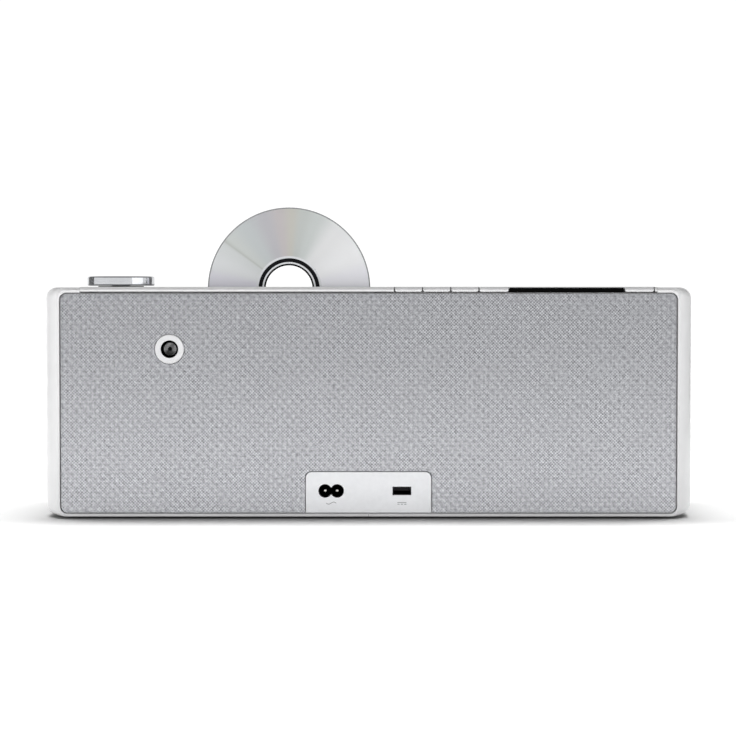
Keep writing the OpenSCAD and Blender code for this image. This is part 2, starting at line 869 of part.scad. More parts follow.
module motor_pulley() {
    color("goldenrod") {
        pulley(pulley_x, y_roller, z_motor, motor_pulley_r, 0);
        rod_x(y_roller, z_motor, spindle_r, pulley_x + pulley_w - eps, pulley_x + pulley_w + 3);
    }
}

module loading_motor() {
    face = pulley_x + pulley_w + 1.5;
    color("silver") {
        difference() {
            rod_x(y_roller, z_motor, loading_motor_r, face, face + loading_motor_l);
            rod_x(y_roller, z_motor, spindle_r + bearing_fit, face - through, face + 4);
        }
        difference() {
            block([disc_x + drive_out, y_roller - loading_motor_r, z_motor - loading_motor_r - 4],
                  [face + 8, y_roller + loading_motor_r, z_motor - loading_motor_r + 0.5]);
            block([pulley_x - 0.5, y_roller - 6, z_motor - loading_motor_r - 1.5],
                  [pulley_x + pulley_w + 0.8, y_roller + 6, z_motor]);
        }
    }
}

// ---- Disc drive, reading unit ----------------------------------------------

module traverse_plate() {
    color("darkgray")
        difference() {
            union() {
                block([disc_x - traverse_half, y_traverse - sheet_t, z_load - traverse_lo],
                      [disc_x + traverse_half, y_traverse, z_load + traverse_hi]);
                for (sz = [-1, 1], x = [disc_x + rod_near - bracket_t, disc_x - rod_far])
                    block([x, y_traverse - eps, z_load + sz * rod_z - 2.5],
                          [x + bracket_t, rod_y + rod_r + 1, z_load + sz * rod_z + 2.5]);
                block([disc_x - rod_far, y_traverse - eps, z_load - screw_z - 2.6],
                      [disc_x - rod_far + bracket_t, rod_y + screw_r + 1, z_load - screw_z + 2.6]);
            }
            for (sx = [-1, 1], z = [z_load + traverse_hi - post_in, z_load - traverse_lo + post_in])
                rod_y(disc_x + sx * (traverse_half - post_in), z, post_r + post_fit, y_traverse - 9, y_traverse + 9);
            for (sz = [-1, 1])
                rod_x(rod_y, z_load + sz * rod_z, rod_r, disc_x - rod_far - through, disc_x + rod_near + through);
            rod_x(rod_y, z_load - screw_z, screw_r + bearing_fit, disc_x - rod_far - through,
                  disc_x - rod_far + bracket_t + through);
        }
}

module spindle_motor() {
    color("silver")
        difference() {
            rod_y(disc_x, z_load, motor_r, y_traverse, y_motor);
            rod_y(disc_x, z_load, spindle_r + bearing_fit, y_motor - 4, y_motor + through);
        }
}

module turntable() {
    color([0.2, 0.2, 0.22]) {
        rod_y(disc_x, z_load, turntable_r, y_table - table_t, y_table);
        rod_y(disc_x, z_load, disc_hole_r - hub_fit, y_table - eps, y_table + hub_h);
        rod_y(disc_x, z_load, spindle_r, y_motor - 3.8, y_table - table_t + eps);
    }
}

module guide_rods() {
    color("silver")
        for (sz = [-1, 1])
            rod_x(rod_y, z_load + sz * rod_z, rod_r, disc_x - rod_far, disc_x + rod_near);
}

// The sled with its lens, its bores on the two rods and the arm that follows the lead screw
module pickup_sled() {
    x_lens = disc_x - lens_start;
    color([0.25, 0.25, 0.27])
        difference() {
            union() {
                block([x_lens - sled_far, y_sled - sled_t, z_load - sled_h / 2],
                      [x_lens + sled_near, y_sled, z_load + sled_h / 2]);
                rod_y(x_lens, z_load, lens_r, y_sled - eps, y_sled + lens_h);
                block([x_lens - nut_arm / 2, y_sled - sled_t, z_load - screw_z - screw_r - 1.4],
                      [x_lens + nut_arm / 2, y_sled, z_load - sled_h / 2 + eps]);
            }
            for (sz = [-1, 1])
                rod_x(rod_y, z_load + sz * rod_z, rod_r + rod_fit, x_lens - 20, x_lens + 20);
            rod_x(rod_y, z_load - screw_z, screw_r + screw_fit, x_lens - 20, x_lens + 20);
        }
}

module lead_screw() {
    color("silver") rod_x(rod_y, z_load - screw_z, screw_r, disc_x - rod_far + 0.5, disc_x - lens_start + 14);
}

module sled_motor() {
    x_0 = disc_x - lens_start + 12;
    color("gray")
        difference() {
            rod_x(rod_y, z_load - screw_z, sled_motor_r, x_0, x_0 + sled_motor_l);
            rod_x(rod_y, z_load - screw_z, screw_r + bearing_fit, x_0 - through, x_0 + 3);
        }
}

// ---- Back ------------------------------------------------------------------

// The notch that the socket plate fills, with this much room round it
module socket_notch(room) {
    w = socket_plate_w + 2 * room;
    top = cloth_lo + socket_plate_h + room;
    r = socket_plate_r + room;
    translate([-w / 2, cloth_lo]) square([w, top - r - cloth_lo]);
    translate([-w / 2 + r, cloth_lo]) square([w - 2 * r, top - cloth_lo]);
    for (s = [-1, 1]) translate([s * (w / 2 - r), top - r]) circle(r);
}

// The notch, open at its lower end
module open_notch(room) {
    socket_notch(room);
    translate([-socket_plate_w / 2 - room, cloth_lo - 5]) square([socket_plate_w + 2 * room, 10]);
}

module panel_outline(inset) {
    translate([0, in_z])
        rounded_rect(cloth_w - 2 * inset, cloth_h - 2 * inset, cloth_corner_r - inset);
}

module rear_panel() {
    color([0.2, 0.2, 0.22])
        difference() {
            upright(y_panel, y_panel_in) panel_outline(cloth_t);
            upright(y_panel - through, y_panel_in + through) open_notch(socket_plate_gap);
            rod_y(antenna_x, antenna_z, antenna_ring_d / 2 + antenna_fit, y_panel - through, y_panel_in + through);
        }
}

module rear_cloth() {
    color([0.66, 0.66, 0.68])
        difference() {
            upright(y_cloth, y_panel_in) panel_outline(0);
            upright(y_panel, y_panel_in + through) panel_outline(cloth_t);
            upright(y_cloth - through, y_panel_in + through) open_notch(socket_plate_gap);
            rod_y(antenna_x, antenna_z, antenna_ring_d / 2 + antenna_fit, y_cloth - through, y_panel_in + through);
        }
}

// The two round lobes of the mains inlet and the waist between them
module mains_shape(grow) {
    translate([mains_x, socket_z]) square([mains_pin_pitch / 2, mains_waist + 2 * grow], center = true);
    for (s = [-1, 1])
        translate([mains_x + s * mains_pin_pitch / 2, socket_z]) circle(mains_lobe_d / 2 + grow);
}

module usb_shape(grow) {
    translate([usb_x, socket_z]) square([usb_w + 2 * grow, usb_h + 2 * grow], center = true);
}

module socket_plate() {
    rim = 4;
    color([0.93, 0.93, 0.94])
        difference() {
            union() {
                upright(y_cloth, y_panel_in) socket_notch(0);
                block([-socket_plate_w / 2 - rim, y_panel_in, z_in_lo + flange_w + 0.2],
                      [socket_plate_w / 2 + rim, y_panel_in + flange_t, cloth_lo + socket_plate_h + rim]);
            }
            upright(y_cloth - through, y_panel_in + flange_t + through) {
                mains_shape(mains_fit);
                usb_shape(usb_fit);
            }
        }
}

module mains_inlet() {
    y_0 = y_panel_in + flange_t;
    y_end = y_cloth + mains_depth + mains_wall;
    w = mains_pin_pitch + mains_lobe_d + 2 * mains_wall;
    h = mains_lobe_d + 2 * mains_wall;
    color([0.06, 0.06, 0.06])
        difference() {
            union() {
                upright(y_0, y_end) translate([mains_x, socket_z]) square([w, h], center = true);
                upright(y_cloth, y_0 + eps) mains_shape(0);
            }
            upright(y_cloth - through, y_cloth + mains_depth) mains_shape(-mains_rim_t);
            for (s = [-1, 1])
                rod_y(mains_x + s * mains_pin_pitch / 2, socket_z, mains_pin_r, y_0, y_end + through);
        }
}

module mains_pins() {
    y_end = y_cloth + mains_depth + mains_wall;
    color("silver")
        for (s = [-1, 1])
            rod_y(mains_x + s * mains_pin_pitch / 2, socket_z, mains_pin_r, y_cloth + mains_pin_drop, y_end + 4);
}

module usb_shell() {
    color("silver")
        difference() {
            upright(y_cloth + usb_drop, y_cloth + usb_depth) usb_shape(0);
            upright(y_cloth - through, y_cloth + usb_depth + through) usb_shape(-usb_wall);
        }
}

// The tongue with its contacts and the block that closes the shell's inner end
module usb_tongue() {
    w = usb_w - 2 * usb_wall;
    h = usb_h - 2 * usb_wall;
    z_hi = socket_z + h / 2;
    color([0.12, 0.12, 0.13]) {
        block([usb_x - w / 2 + 0.7, y_cloth + usb_drop + 0.8, z_hi - 0.5 - usb_tongue_t],
              [usb_x + w / 2 - 0.7, y_cloth + usb_depth - 4, z_hi - 0.5]);
        upright(y_cloth + usb_depth - 4 - eps, y_cloth + usb_depth) usb_shape(-usb_wall);
    }
}

module antenna_ring() {
    color([0.95, 0.95, 0.96])
        difference() {
            union() {
                rod_y(antenna_x, antenna_z, antenna_ring_d / 2, antenna_face, y_panel_in + flange_t);
                rod_y(antenna_x, antenna_z, antenna_ring_d / 2 + antenna_flange, y_panel_in, y_panel_in + flange_t);
            }
            rod_y(antenna_x, antenna_z, antenna_well_d / 2, antenna_face - through, y_panel_in + flange_t + through);
        }
}

// The threaded barrel with its dielectric bore, on a metal block
module antenna_socket() {
    half = antenna_ring_d / 2 - 1;
    y_block = y_panel_in + flange_t;
    color("gray")
        difference() {
            union() {
                rod_y(antenna_x, antenna_z, antenna_barrel_d / 2, y_barrel, y_block + barrel_l);
                block([antenna_x - half, y_block, antenna_z - half], [antenna_x + half, y_block + 7, antenna_z + half]);
            }
            rod_y(antenna_x, antenna_z, 0.8, y_barrel - through, y_barrel + 6);
        }
}

// ---- Front and speakers ------------------------------------------------------

module front_baffle() {
    color([0.2, 0.2, 0.22])
        difference() {
            upright(y_baffle_in, y_baffle_in + panel_t) panel_outline(cloth_t);
            for (s = [-1, 1])
                rod_y(s * speaker_x, speaker_z, cone_r + surround_w, y_baffle_in - through, y_front);
        }
}

module front_cloth() {
    color([0.66, 0.66, 0.68])
        difference() {
            upright(y_baffle_in, y_front - cloth_recess) panel_outline(0);
            upright(y_baffle_in - through, y_baffle_in + panel_t) panel_outline(cloth_t);
        }
}

// Revolves a profile about a speaker's axis: its x is the radius, and its y the depth behind the baffle
module about_speaker(s) {
    translate([s * speaker_x, y_baffle_in, speaker_z]) rotate([90, 0, 0])
        rotate_extrude($fn = 96) children();
}

module speaker_baskets() {
    inner = cone_r + surround_w;
    back_r = magnet_r - 4;
    color([0.3, 0.3, 0.32])
        for (s = [-1, 1])
            difference() {
                about_speaker(s)
                    polygon([[inner, 0], [speaker_r, 0], [speaker_r, frame_t], [inner + basket_wall, frame_t],
                             [back_r + basket_wall, basket_depth - basket_wall], [back_r + basket_wall, basket_depth],
                             [coil_r + 2.5, basket_depth], [coil_r + 2.5, basket_depth - basket_wall],
                             [back_r, basket_depth - basket_wall], [inner, frame_t]]);
                translate([s * speaker_x, y_baffle_in, speaker_z]) rotate([90, 0, 0])
                    for (a = [0:60:300])
                        rotate([0, 0, a + 30])
                            block([back_r + 2, -7, frame_t + 3], [speaker_r, 7, basket_depth - basket_wall - 2]);
            }
}

module speaker_magnets() {
    color([0.12, 0.12, 0.12])
        for (s = [-1, 1])
            about_speaker(s)
                difference() {
                    translate([0, basket_depth]) square([magnet_r, magnet_t]);
                    translate([coil_r - coil_gap, basket_depth - through])
                        square([coil_t + 2 * coil_gap, coil_l + through]);
                }
}

module speaker_surrounds() {
    mid = cone_r + surround_w / 2 - surround_seat;
    color([0.1, 0.1, 0.1])
        for (s = [-1, 1])
            about_speaker(s)
                difference() {
                    translate([mid, frame_t - surround_t]) circle(surround_w / 2);
                    translate([mid, frame_t - surround_t]) circle(surround_w / 2 - surround_t);
                    translate([0, frame_t - surround_t]) square([2 * cone_r, 20]);
                    translate([0, -10]) square([cone_r + surround_fit, 20]);
                }
}

// A paper cone with its dust cap and the voice coil's former
module cone(s) {
    y_0 = frame_t - surround_t;
    neck = y_0 + cone_depth;
    color([0.2, 0.2, 0.2])
        about_speaker(s)
            union() {
                polygon([[cone_r, y_0], [cone_r, y_0 + cone_t], [coil_r + coil_t, neck + cone_t],
                         [coil_r + coil_t, basket_depth + coil_l - 2 * cone_travel - 1],
                         [coil_r, basket_depth + coil_l - 2 * cone_travel - 1], [coil_r, neck]]);
                polygon([[0, neck - cap_h], [coil_r * 0.7, neck - cap_h * 0.7], [coil_r + eps, neck],
                         [coil_r + eps, neck + cone_t], [coil_r * 0.7, neck - cap_h * 0.7 + cone_t],
                         [0, neck - cap_h + cone_t]]);
            }
}

module speaker_screws() {
    ring = (cone_r + surround_w + basket_wall + speaker_r) / 2;
    color("silver")
        for (s = [-1, 1], a = [45:90:315])
            rod_y(s * speaker_x + ring * cos(a), speaker_z + ring * sin(a), 2.2,
                  y_baffle_in - frame_t - 1.6, y_baffle_in - frame_t);
}

// ---- Boards ------------------------------------------------------------------

module power_board() {
    x_hi = power_x + power_w;
    y_hi = power_y + power_d;
    z_top = z_power + board_t;
    color("darkgreen") {
        block([power_x, power_y, z_power], [x_hi, y_hi, z_top]);
        for (x = [power_x + standoff_in, x_hi - standoff_in], y = [power_y + standoff_in, y_hi - standoff_in])
            rod_z(x, y, standoff_r, z_in_lo, z_power);
        translate([power_x + 2.4 * standoff_in, power_y + 2.8 * standoff_in, z_top]) cube(transformer);
        rod_z(power_x + power_w * 0.6, power_y + power_d * 0.29, capacitor_r, z_top, z_top + capacitor_h);
        for (i = [0:2])
            rod_z(power_x + power_w * (0.56 + 0.12 * i), y_hi - 2.4 * small_cap_r, small_cap_r, z_top,
                  z_top + small_cap_h);
        translate([x_hi - 4.4 * standoff_in, power_y + 2 * standoff_in, z_top]) cube(sink);
    }
}

module main_board() {
    y_0 = y_panel_in + main_gap;
    y_top = y_0 + board_t;
    x_hi = main_x + main_w;
    z_lo = main_z - main_h / 2;
    z_hi = main_z + main_h / 2;
    color("darkgreen") {
        block([main_x, y_0, z_lo], [x_hi, y_top, z_hi]);
        for (x = [main_x + standoff_in, x_hi - standoff_in], z = [z_lo + standoff_in, z_hi - standoff_in])
            rod_y(x, z, standoff_r, y_panel_in, y_0);
        translate([main_x + 2.8 * standoff_in, y_top, main_z - tuner.z / 2]) cube(tuner);
        translate([main_x + main_w * 0.58, y_top, main_z - amplifier.z * 0.7]) cube(amplifier);
        translate([main_x + 4 * standoff_in, y_top, z_hi - 1.6 * plug_h]) cube([plug_w, plug_d, plug_h]);
    }
}

// The flat cable from the control board down to the main board
module ribbon_cable() {
    x_0 = main_x + 4 * standoff_in + (plug_w - ribbon_w) / 2;
    y_0 = y_panel_in + main_gap + board_t + plug_d;
    color([0.85, 0.85, 0.8])
        block([x_0, y_0, main_z + main_h / 2 - 1.6 * plug_h], [x_0 + ribbon_w, y_0 + ribbon_t, z_control - board_t]);
}

// ---- Nodes -------------------------------------------------------------------

casing();
pads();
seam_plate();
top_plate();
slot_lip();
dust_felts();
key(0);  // key_1
key(1);  // key_2
key(2);  // key_3
key(3);  // key_4
key(key_count);  // end_key
control_board();
key_switches();
display_bezel();
display_glass();
lcd_panel();
knob_collar();
encoder_body();
encoder_shaft();
knob_ring();
knob_face();
disc();
drive_frame();
drive_dampers();
clamp_plate();
clamper();
disc_guide();
roller_shaft();
roller_rubber();
drive_belt();
motor_pulley();
loading_motor();
traverse_plate();
spindle_motor();
turntable();
guide_rods();
pickup_sled();
lead_screw();
sled_motor();
rear_panel();
rear_cloth();
socket_plate();
mains_inlet();
mains_pins();
usb_shell();
usb_tongue();
antenna_ring();
antenna_socket();
front_baffle();
front_cloth();
speaker_baskets();
speaker_magnets();
speaker_surrounds();
cone(1);  // left_cone
cone(-1);  // right_cone
speaker_screws();
power_board();
main_board();
ribbon_cable();
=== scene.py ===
from math import cos, radians, sin, tau

import bmesh
import bpy
from mathutils import Matrix, Vector


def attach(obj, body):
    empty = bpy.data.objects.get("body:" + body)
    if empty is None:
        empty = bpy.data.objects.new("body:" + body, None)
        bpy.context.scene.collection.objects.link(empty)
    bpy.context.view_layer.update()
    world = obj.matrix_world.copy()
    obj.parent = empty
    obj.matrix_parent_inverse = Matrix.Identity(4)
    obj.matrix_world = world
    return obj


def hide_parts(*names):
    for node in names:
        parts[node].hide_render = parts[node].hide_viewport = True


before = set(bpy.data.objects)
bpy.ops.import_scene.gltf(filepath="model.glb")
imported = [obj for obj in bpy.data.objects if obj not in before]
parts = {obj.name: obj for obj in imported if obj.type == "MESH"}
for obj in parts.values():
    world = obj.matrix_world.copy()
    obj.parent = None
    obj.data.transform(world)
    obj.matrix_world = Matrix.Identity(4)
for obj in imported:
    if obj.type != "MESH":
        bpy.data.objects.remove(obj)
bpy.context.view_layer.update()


# ---- Camera ----------------------------------------------------------------------------------
# The unit is seen square on from behind, a little more than a metre and a half away, with a long
# lens at the height of its top edge and tipped down two degrees.

eye = bpy.data.cameras.new("eye")
eye.sensor_width = 36
eye.lens = 107.6
camera = bpy.data.objects.new("camera", eye)
camera.location = (-0.0004, -1.640, 0.165)
camera.rotation_euler = (radians(90 - 2.096), 0, 0)
bpy.context.scene.collection.objects.link(camera)
bpy.context.scene.camera = camera
bpy.context.scene.view_settings.view_transform = "Standard"


# ---- Studio ----------------------------------------------------------------------------------
# A matt pale table that runs back out of sight under a row of overhead lights, and a white room
# that is brightest low down and dimmer overhead. Two grey cards out of view give bright metal
# its dark edges.


def remap(node, given, wanted):
    """Sets a Map Range node to turn one span of values into another."""
    for end, value in zip(("From Min", "From Max", "To Min", "To Max"), (*given, *wanted)):
        node.inputs[end].default_value = value


def coating(name, dark, light, grain, rough, metal=0.0, relief=0.0, relief_grain=0.0,
            stretch=(1, 1, 1), sockets=None):
    """A finish in the part's own coordinates: its colour runs between two shades and its gloss
    follows them. grain and relief_grain are patches in a metre, relief is the height of its
    texture in metres, and sockets are the shader's other settings."""
    made = bpy.data.materials.new(name)
    made.use_nodes = True
    nodes, links = made.node_tree.nodes, made.node_tree.links
    shader = nodes["Principled BSDF"]
    place = nodes.new("ShaderNodeTexCoord")
    lie = nodes.new("ShaderNodeMapping")
    lie.inputs["Scale"].default_value = stretch
    links.new(place.outputs["Object"], lie.inputs["Vector"])
    cloud = nodes.new("ShaderNodeTexNoise")
    cloud.inputs["Scale"].default_value = grain
    cloud.inputs["Detail"].default_value = 5
    links.new(lie.outputs["Vector"], cloud.inputs["Vector"])
    shades = nodes.new("ShaderNodeValToRGB")
    for stop, at, tone in zip(shades.color_ramp.elements, (0.32, 0.68), (dark, light)):
        stop.position, stop.color = at, (*tone, 1)
    links.new(cloud.outputs["Fac"], shades.inputs["Fac"])
    links.new(shades.outputs["Color"], shader.inputs["Base Color"])
    gloss = nodes.new("ShaderNodeMapRange")
    remap(gloss, (0.3, 0.7), rough)
    links.new(cloud.outputs["Fac"], gloss.inputs["Value"])
    links.new(gloss.outputs["Result"], shader.inputs["Roughness"])
    if relief:
        texture = nodes.new("ShaderNodeTexNoise")
        texture.inputs["Scale"].default_value = relief_grain
        texture.inputs["Detail"].default_value = 3
        links.new(lie.outputs["Vector"], texture.inputs["Vector"])
        bump = nodes.new("ShaderNodeBump")
        bump.inputs["Distance"].default_value = relief
        links.new(texture.outputs["Fac"], bump.inputs["Height"])
        links.new(bump.outputs["Normal"], shader.inputs["Normal"])
    shader.inputs["Metallic"].default_value = metal
    for socket, value in (sockets or {}).items():
        shader.inputs[socket].default_value = value
    return made


def furnish(name, shape, finish):
    """Makes a shape a thing of the studio, which isn't a piece of the part."""
    mesh = bpy.data.meshes.new(name)
    shape.to_mesh(mesh)
    shape.free()
    mesh.materials.append(finish)
    thing = bpy.data.objects.new(name, mesh)
    bpy.context.scene.collection.objects.link(thing)
    return thing


table_top = bmesh.new()
bmesh.ops.create_grid(table_top, x_segments=8, y_segments=8, size=60)
table = furnish("table", table_top,
                coating("table_white", (0.34, 0.34, 0.34), (0.36, 0.36, 0.36), 6, (0.8, 0.9)))


def lamp(name, kind, where, towards, strength, size, only=None):
    """A soft lamp that the camera doesn't see. A sun's size is its width in degrees. only is the
    one thing that the lamp lights, where it doesn't light them all."""
    data = bpy.data.lights.new(name, kind)
    data.energy = strength
    if kind == "SUN":
        data.angle = radians(size)
    else:
        data.shape = "RECTANGLE"
        data.size, data.size_y = size
    made = bpy.data.objects.new(name, data)
    made.location = where
    aim = Vector(towards) - Vector(where)
    made.rotation_euler = aim.to_track_quat("-Z", "Y").to_euler()
    made.visible_camera = False
    bpy.context.scene.collection.objects.link(made)
    if only:
        lit = bpy.data.collections.new(name + "_lights")
        lit.objects.link(only)
        made.light_linking.receiver_collection = lit
    return made


table_light, table_light_width = 1.87, 20
for lean in (-0.35, -0.1, 0, 0.1, 0.35):
    lamp("table_lamp", "SUN", (lean, 0.2, 1), (0, 0, 0), table_light, table_light_width,
         only=table)
side_lamp = lamp("side_lamp", "AREA", (-1.5, -1.4, 0.35), (-0.1, 0, 0.08), 8, (0.8, 0.6))
side_lamp.visible_glossy = False
lamp("soft_box", "AREA", (1.6, -0.85, 0.3), (-0.18, -0.025, 0.17), 2.0, (1.5, 0.6))

card_grey = coating("card_grey", (0.2, 0.2, 0.2), (0.26, 0.26, 0.26), 30, (0.9, 1.0))
card_half, card_turn = 0.4, 61
cards_middle, cards_apart, card_back, card_height = -0.18, 1.0, 0.5, 0.4
for side in (-1, 1):
    card = bmesh.new()
    bmesh.ops.create_grid(card, x_segments=2, y_segments=2, size=card_half)
    for turn, axis in ((90, "X"), (-side * card_turn, "Z")):
        bmesh.ops.rotate(card, verts=card.verts, cent=(0, 0, 0),
                         matrix=Matrix.Rotation(radians(turn), 3, axis))
    bmesh.ops.translate(card, verts=card.verts,
                        vec=(cards_middle + side * cards_apart, card_back, card_height))
    card = furnish("card", card, card_grey)
    card.visible_camera = card.visible_diffuse = card.visible_shadow = False

room = bpy.data.worlds.new("room")
bpy.context.scene.world = room
room.use_nodes = True
air, runs = room.node_tree.nodes, room.node_tree.links
look = air.new("ShaderNodeTexCoord")
split = air.new("ShaderNodeSeparateXYZ")
runs.new(look.outputs["Generated"], split.inputs["Vector"])
low_brightness, overhead_brightness = 1.07, 0.2
height = air.new("ShaderNodeMapRange")
height.interpolation_type = "SMOOTHSTEP"
remap(height, (0.12, 0.6), (low_brightness, overhead_brightness))
runs.new(split.outputs["Z"], height.inputs["Value"])
backdrop = air.new("ShaderNodeMath")
backdrop.operation = "MAXIMUM"
runs.new(height.outputs["Result"], backdrop.inputs[0])
runs.new(air.new("ShaderNodeLightPath").outputs["Is Camera Ray"], backdrop.inputs[1])
air["Background"].inputs["Color"].default_value = (1, 1, 1, 1)
runs.new(backdrop.outputs["Value"], air["Background"].inputs["Strength"])


# ---- Casing ----------------------------------------------------------------------------------
# One sheet of aluminium wrapped round and butted under the middle, lacquered white. Its sides
# swell out past the rims and its top edges are bevelled. A flange near each rim carries a cloth
# panel, and ledges carry the top plate.


def ring(shape, y, half_w, low, high, radius):
    """A standing rectangle with round corners at this y, as one loop of edges."""
    before, whole = set(shape.edges), set(shape.faces)
    corners = bmesh.ops.create_grid(shape, x_segments=1, y_segments=1, size=1)["verts"]
    stand = Matrix(((half_w, 0, 0, 0), (0, 0, 0, y),
                    (0, (high - low) / 2, 0, (high + low) / 2), (0, 0, 0, 1)))
    bmesh.ops.transform(shape, matrix=stand, verts=corners)
    bmesh.ops.bevel(shape, geom=corners, offset=radius, offset_type="OFFSET", affect="VERTICES",
                    segments=9, profile=0.5, material=-1)
    bmesh.ops.delete(shape, geom=[f for f in shape.faces if f not in whole], context="FACES_ONLY")
    return [e for e in shape.edges if e not in before]


def block(shape, low, high):
    """A box between two corners."""
    made = bmesh.ops.create_cube(shape, size=1)["verts"]
    bmesh.ops.scale(shape, vec=[h - l for l, h in zip(low, high)], verts=made)
    bmesh.ops.translate(shape, vec=[(h + l) / 2 for l, h in zip(low, high)], verts=made)


def carved(shape, away):
    """What is left of one shape when another is taken out of it."""
    pair = []
    for one in (shape, away):
        mesh = bpy.data.meshes.new("carving")
        one.to_mesh(mesh)
        one.free()
        pair.append(bpy.data.objects.new("carving", mesh))
        bpy.context.scene.collection.objects.link(pair[-1])
    cut = pair[0].modifiers.new("cut", "BOOLEAN")
    cut.operation, cut.solver, cut.object = "DIFFERENCE", "EXACT", pair[1]
    left = bmesh.new()
    left.from_object(pair[0], bpy.context.evaluated_depsgraph_get())
    for one in pair:
        mesh = one.data
        bpy.data.objects.remove(one)
        bpy.data.meshes.remove(mesh)
    return left


def put(name, shape, finishes, body, slot, *stands_for):
    """Makes a shape drawn in millimetres a piece of the part that rides on a body."""
    bmesh.ops.scale(shape, vec=(0.001, 0.001, 0.001), verts=shape.verts)
    mesh = bpy.data.meshes.new(name)
    shape.to_mesh(mesh)
    shape.free()
    for finish in finishes if isinstance(finishes, list) else [finishes]:
        mesh.materials.append(finish)
    for face in mesh.polygons:
        face.use_smooth = True
    mesh.set_sharp_from_angle(angle=radians(32))
    piece = bpy.data.objects.new(name, mesh)
    bpy.context.scene.collection.objects.link(piece)
    piece.modifiers.new("even shading", "WEIGHTED_NORMAL").keep_sharp = True
    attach(piece, body)
    if stands_for:
        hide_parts(*stands_for)
    return piece


rim, underside, top_side, top_bevel = 75, 1.6, 165.1, 2
swell, swell_middle, swell_depth = 32, 200.7, 24.403
rim_half, bulge, rim_corner, mid_corner = 221.4, 11.3, 5.7, 8.3
# Outside, from a rim to the middle: the swell of the sides, with the rim's own edge eased.
outside = []
for t in (0, 0.1, 0.3, 0.65, 1.2, 2, 3, 5, 7.5, 10.5, 14, 18.5, 24.4):
    half = swell_middle + (swell ** 2 - (swell_depth - t) ** 2) ** 0.5 - max(0, 0.1 - t) * 4
    corner = rim_corner + (mid_corner - rim_corner) * (half - rim_half) / bulge
    outside.append((t - rim, half, underside + max(0, 0.3 - t),
                    top_side - max(0, top_bevel - t), corner))

wall_half, floor, ceiling, wall_corner = 220.2, 3.6, 161.4, 5.2
flange, flange_back, flange_front = 3, -70.4, -68.4
hollow_back, hollow_half = -49.597, 229.3
# Inside, from the same rim: a small lead-in, the flange, and the hollow behind the swell.
inside = [(y, wall_half - inset, floor + inset, ceiling - inset, corner) for y, inset, corner in (
    (-rim, -0.3, 5.3), (-74.9, -0.08, 5.25), (-74.7, 0, wall_corner),
    (flange_back, 0, wall_corner), (flange_back, flange, wall_corner),
    (flange_front, flange, wall_corner), (flange_front, 0, wall_corner),
    (hollow_back, 0, wall_corner))]
inside.append((hollow_back, hollow_half, floor, ceiling, wall_corner))

band = bmesh.new()
stations = outside + [(-y, *rest) for y, *rest in reversed(outside)]
stations += [(-y, *rest) for y, *rest in inside] + inside[::-1]
loops = [ring(band, *station) for station in stations]
for one, following in zip(loops, loops[1:] + loops[:1]):
    bmesh.ops.bridge_loops(band, edges=one + following)
bmesh.ops.recalc_face_normals(band, faces=band.faces)

well_half, well_front, ledge, ledge_low = 205.5, 58, 5, 159.8
seam_half, past_rim = 0.15, rim + 1
opening = bmesh.new()
block(opening, (-well_half, -past_rim, ceiling), (well_half, well_front, 167))
block(opening, (-seam_half, -past_rim, 0), (seam_half, past_rim, 3.2))
band = carved(band, opening)
for side in (-1, 1):
    block(band, (side * well_half - ledge, flange_front, ledge_low),
          (side * well_half + ledge, well_front - ledge, ceiling))
block(band, (-well_half - ledge, well_front - ledge, ledge_low),
      (well_half + ledge, well_front + ledge, ceiling))
lacquer = coating("casing_lacquer", (0.78, 0.78, 0.785), (0.81, 0.81, 0.815), 60, (0.28, 0.36),
                  relief=2e-6, relief_grain=900,
                  sockets={"Coat Weight": 0.25, "Coat Roughness": 0.12})
put("casing_band", band, lacquer, "housing", "casing_lacquer", "casing")


# ---- Pads ------------------------------------------------------------------------------------
# Four round feet of soft black rubber, moulded with a rounded lower edge and glued under the
# casing.


def spun(profile, centre, upright=True, steps=96):
    """A closed round body: a section of (radius, height) points turned about Z, or about Y where
    it isn't upright."""
    shape = bmesh.new()
    points = [shape.verts.new((r, 0, h) if upright else (r, h, 0)) for r, h in profile]
    edges = [shape.edges.new(pair) for pair in zip(points, points[1:] + points[:1])
             if pair[0].co.x + pair[1].co.x > 0]
    bmesh.ops.spin(shape, geom=points + edges, cent=(0, 0, 0),
                   axis=(0, 0, 1) if upright else (0, 1, 0), angle=tau, steps=steps,
                   use_merge=True)
    bmesh.ops.remove_doubles(shape, verts=shape.verts, dist=1e-4)
    bmesh.ops.recalc_face_normals(shape, faces=shape.faces)
    bmesh.ops.translate(shape, vec=centre, verts=shape.verts)
    return shape


def joined(shapes):
    """Several shapes as one."""
    whole = shapes[0]
    for other in shapes[1:]:
        mesh = bpy.data.meshes.new("joining")
        other.to_mesh(mesh)
        other.free()
        whole.from_mesh(mesh)
        bpy.data.meshes.remove(mesh)
    return whole


pad_rubber = coating("pad_rubber", (0.02, 0.02, 0.022), (0.035, 0.035, 0.038), 500, (0.7, 0.85),
                     relief=4e-5, relief_grain=2500)
pad_section = [(0, 0), (8.2, 0), (8.8, 0.25), (9, 0.8), (9, underside), (0, underside)]
feet = joined([spun(pad_section, (x, y, 0), steps=48) for x in (-191, 191) for y in (-51, 51)])
put("rubber_feet", feet, pad_rubber, "housing", "pad_rubber", "pads")


# ---- Seam strip ------------------------------------------------------------------------------
# A strip of zinc-plated steel riveted over the casing's butt seam, inside on the floor. It was
# slit and rolled, so its grain runs along it.


def dress(node, finish):
    """Gives a CAD node its finish."""
    parts[node].material_slots[0].material = finish


plated = coating("sheet_steel", (0.36, 0.37, 0.38), (0.52, 0.53, 0.54), 90, (0.26, 0.42),
                 metal=1.0, relief=1.5e-5, relief_grain=1500, stretch=(1, 0.15, 1))
dress("seam_plate", plated)


